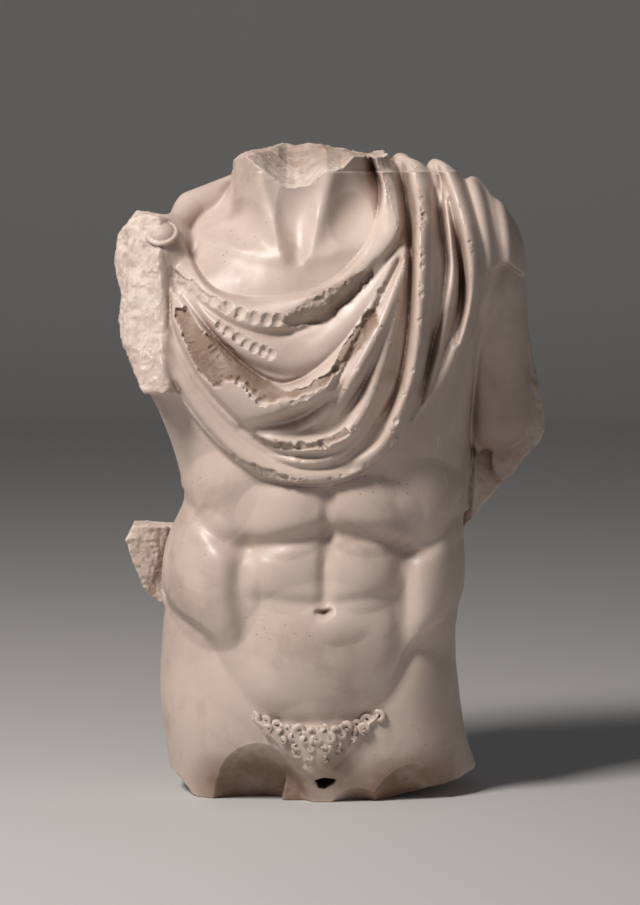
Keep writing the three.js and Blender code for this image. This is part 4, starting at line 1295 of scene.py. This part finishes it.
def studio_floor(settings):
    """A floor that sweeps up into a backdrop behind the statue."""
    half, front, bend, wall = 7.0, -6.0, 1.2, 4.0
    back = 5.2
    profile = [(front, 0.0), (back, 0.0)]
    for i in range(1, 17):
        angle = math.pi / 2 * i / 16
        profile.append((back + bend * math.sin(angle), bend * (1 - math.cos(angle))))
    profile.append((back + bend, wall))
    corners = [(x, y, z) for y, z in profile for x in (-half, half)]
    faces = [(2 * i, 2 * i + 1, 2 * i + 3, 2 * i + 2) for i in range(len(profile) - 1)]
    mesh = bpy.data.meshes.new("studio floor")
    mesh.from_pydata(corners, [], faces)
    mesh.polygons.foreach_set("use_smooth", [True] * len(faces))
    mesh.materials.append(plain_material("Pale floor", settings.floor, 0.7))
    return mesh


def soft_light(name, place, target, size, watts, colour):
    lamp = bpy.data.lights.new(name, "AREA")
    lamp.shape = "SQUARE"
    lamp.size = size
    lamp.energy = watts
    lamp.color = colour
    holder = bpy.data.objects.new(name, lamp)
    holder.location = place
    holder.rotation_euler = (Vector(target) - Vector(place)).to_track_quat("-Z", "Y").to_euler()
    bpy.context.scene.collection.objects.link(holder)


def studio_camera():
    lens = bpy.data.cameras.new("camera")
    lens.sensor_fit = "VERTICAL"
    lens.sensor_height = SENSOR
    lens.lens = VIEW_DISTANCE / MILLIMETRE / VIEW_SCALE / FRAME_HEIGHT * SENSOR
    lens.clip_end = 100
    holder = bpy.data.objects.new("camera", lens)
    drop = math.radians(VIEW_DROP)
    back = Vector((0, -math.cos(drop), math.sin(drop)))
    holder.location = Vector(VIEW_TARGET) + back * VIEW_DISTANCE
    holder.rotation_euler = Euler((math.pi / 2 - drop, 0, 0))
    bpy.context.scene.collection.objects.link(holder)
    bpy.context.scene.camera = holder


# ---- Settings, operators and panel ----

class TorsoCarving(bpy.types.PropertyGroup):
    step: FloatProperty(
        name="Carving Step", description="Distance between the places where the form is worked out",
        default=2.0, min=1.5, max=8.0)
    most: IntProperty(
        name="Most Triangles", description="Triangles of the carved surface", default=186000)
    roughness: FloatProperty(
        name="Break Roughness", description="Unevenness of the broken faces", default=1.0, min=0.0,
        max=2.0)
    curl_seed: IntProperty(name="Curl Seed", description="Chooses how the curls turn", default=4)


class TorsoMarble(bpy.types.PropertyGroup):
    marble: FloatVectorProperty(
        name="Marble", description="Main colour", subtype="COLOR", default=(0.66, 0.53, 0.455))
    cloud: FloatVectorProperty(
        name="Cloud", description="Cooler clouds", subtype="COLOR", default=(0.52, 0.40, 0.35))
    stain: FloatVectorProperty(
        name="Stain", description="Brown stains", subtype="COLOR", default=(0.24, 0.145, 0.095))
    grime_and_painted_shade: FloatVectorProperty(
        # Colour of grime and dark specks, also used as painted shade in the hollows and creases
        name="Grime And Painted Shade", description="Grime, and painted shade in the hollows and creases", subtype="COLOR", default=(0.16, 0.085, 0.06))
    fresh: FloatVectorProperty(
        name="Fresh Break", description="Broken faces and worn crests", subtype="COLOR",
        default=(0.72, 0.61, 0.53))
    polish: FloatProperty(
        name="Polish", description="Roughness of the smoothest marble", default=0.34, min=0.0, max=1.0,
        subtype="FACTOR")


class TorsoStudio(bpy.types.PropertyGroup):
    floor: FloatVectorProperty(
        name="Floor", description="Colour of the floor and backdrop", subtype="COLOR",
        default=(0.55, 0.54, 0.53))
    key: FloatProperty(
        name="Key Light", description="Power of the main light", default=100.0, unit="POWER")
    fill: FloatProperty(
        name="Fill Light", description="Power of the light from the other side", default=3.0,
        unit="POWER")
    sky: FloatProperty(
        name="Room Light", description="Strength of the light all round", default=0.08)


class TORSO_OT_carve(bpy.types.Operator):
    """Carve the torso, its breaks and its curls, and finish it in marble"""
    bl_idname = "torso.carve"
    bl_label = "Carve Torso"

    def execute(self, context):
        carving, finish = context.scene.torso_carving, context.scene.torso_marble
        marble = marble_material(finish)
        statue = Statue(carving.roughness)
        curls = curl_meshes(statue, marble, carving.curl_seed)
        surface = mesh_of("torso surface", *cut_block(statue, carving.step))
        mesh = with_curls(thinned(surface, carving.most), curls)
        mesh.polygons.foreach_set("use_smooth", [True] * len(mesh.polygons))
        surface_values(mesh, statue)
        mesh.materials.clear()
        mesh.materials.append(marble)
        if len(mesh.polygons) == 0:
            raise RuntimeError("the block came out empty")
        piece = bpy.data.objects.new("marble_torso", mesh)
        context.scene.collection.objects.link(piece)
        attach(piece, "root")
        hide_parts(NODE)
        return {"FINISHED"}


class TORSO_OT_stage(bpy.types.Operator):
    """Set the floor, the soft lights and the camera"""
    bl_idname = "torso.stage"
    bl_label = "Set Stage"

    def execute(self, context):
        studio = context.scene.torso_studio
        floor = bpy.data.objects.new("studio_floor", studio_floor(studio))
        context.scene.collection.objects.link(floor)
        room = bpy.data.worlds.new("room")
        room.use_nodes = True
        background = room.node_tree.nodes["Background"].inputs
        background["Color"].default_value = (0.92, 0.95, 1.0, 1.0)
        background["Strength"].default_value = studio.sky
        context.scene.world = room
        context.scene.view_settings.view_transform = "Standard"
        soft_light("key light", (-1.5, -1.45, 2.65), (0, 0, 0.45), 0.75, studio.key, (1.0, 0.96, 0.92))
        soft_light("fill light", (2.0, -2.0, 1.2), (0, 0, 0.4), 1.6, studio.fill, (0.95, 0.97, 1.0))
        studio_camera()
        return {"FINISHED"}


class TORSO_PT_panel(bpy.types.Panel):
    bl_label = "Marble Torso"
    bl_idname = "TORSO_PT_panel"
    bl_space_type = "VIEW_3D"
    bl_region_type = "UI"
    bl_category = "Torso"

    def draw(self, context):
        scene, layout = context.scene, self.layout
        for group in (scene.torso_carving, scene.torso_marble, scene.torso_studio):
            box = layout.box()
            for name in group.__annotations__:
                box.prop(group, name)
        for operator in OPERATORS:
            layout.operator(operator.bl_idname)


OPERATORS = (TORSO_OT_carve, TORSO_OT_stage)
GROUPS = {"torso_carving": TorsoCarving, "torso_marble": TorsoMarble, "torso_studio": TorsoStudio}


def register():
    for made in (*GROUPS.values(), *OPERATORS, TORSO_PT_panel):
        bpy.utils.register_class(made)
    for name, group in GROUPS.items():
        setattr(bpy.types.Scene, name, PointerProperty(type=group))


def unregister():
    for name in GROUPS:
        delattr(bpy.types.Scene, name)
    for made in (TORSO_PT_panel, *reversed(OPERATORS), *reversed(GROUPS.values())):
        bpy.utils.unregister_class(made)


def main():
    register()
    bpy.ops.torso.carve()
    bpy.ops.torso.stage()


if __name__ == "__main__":
    main()
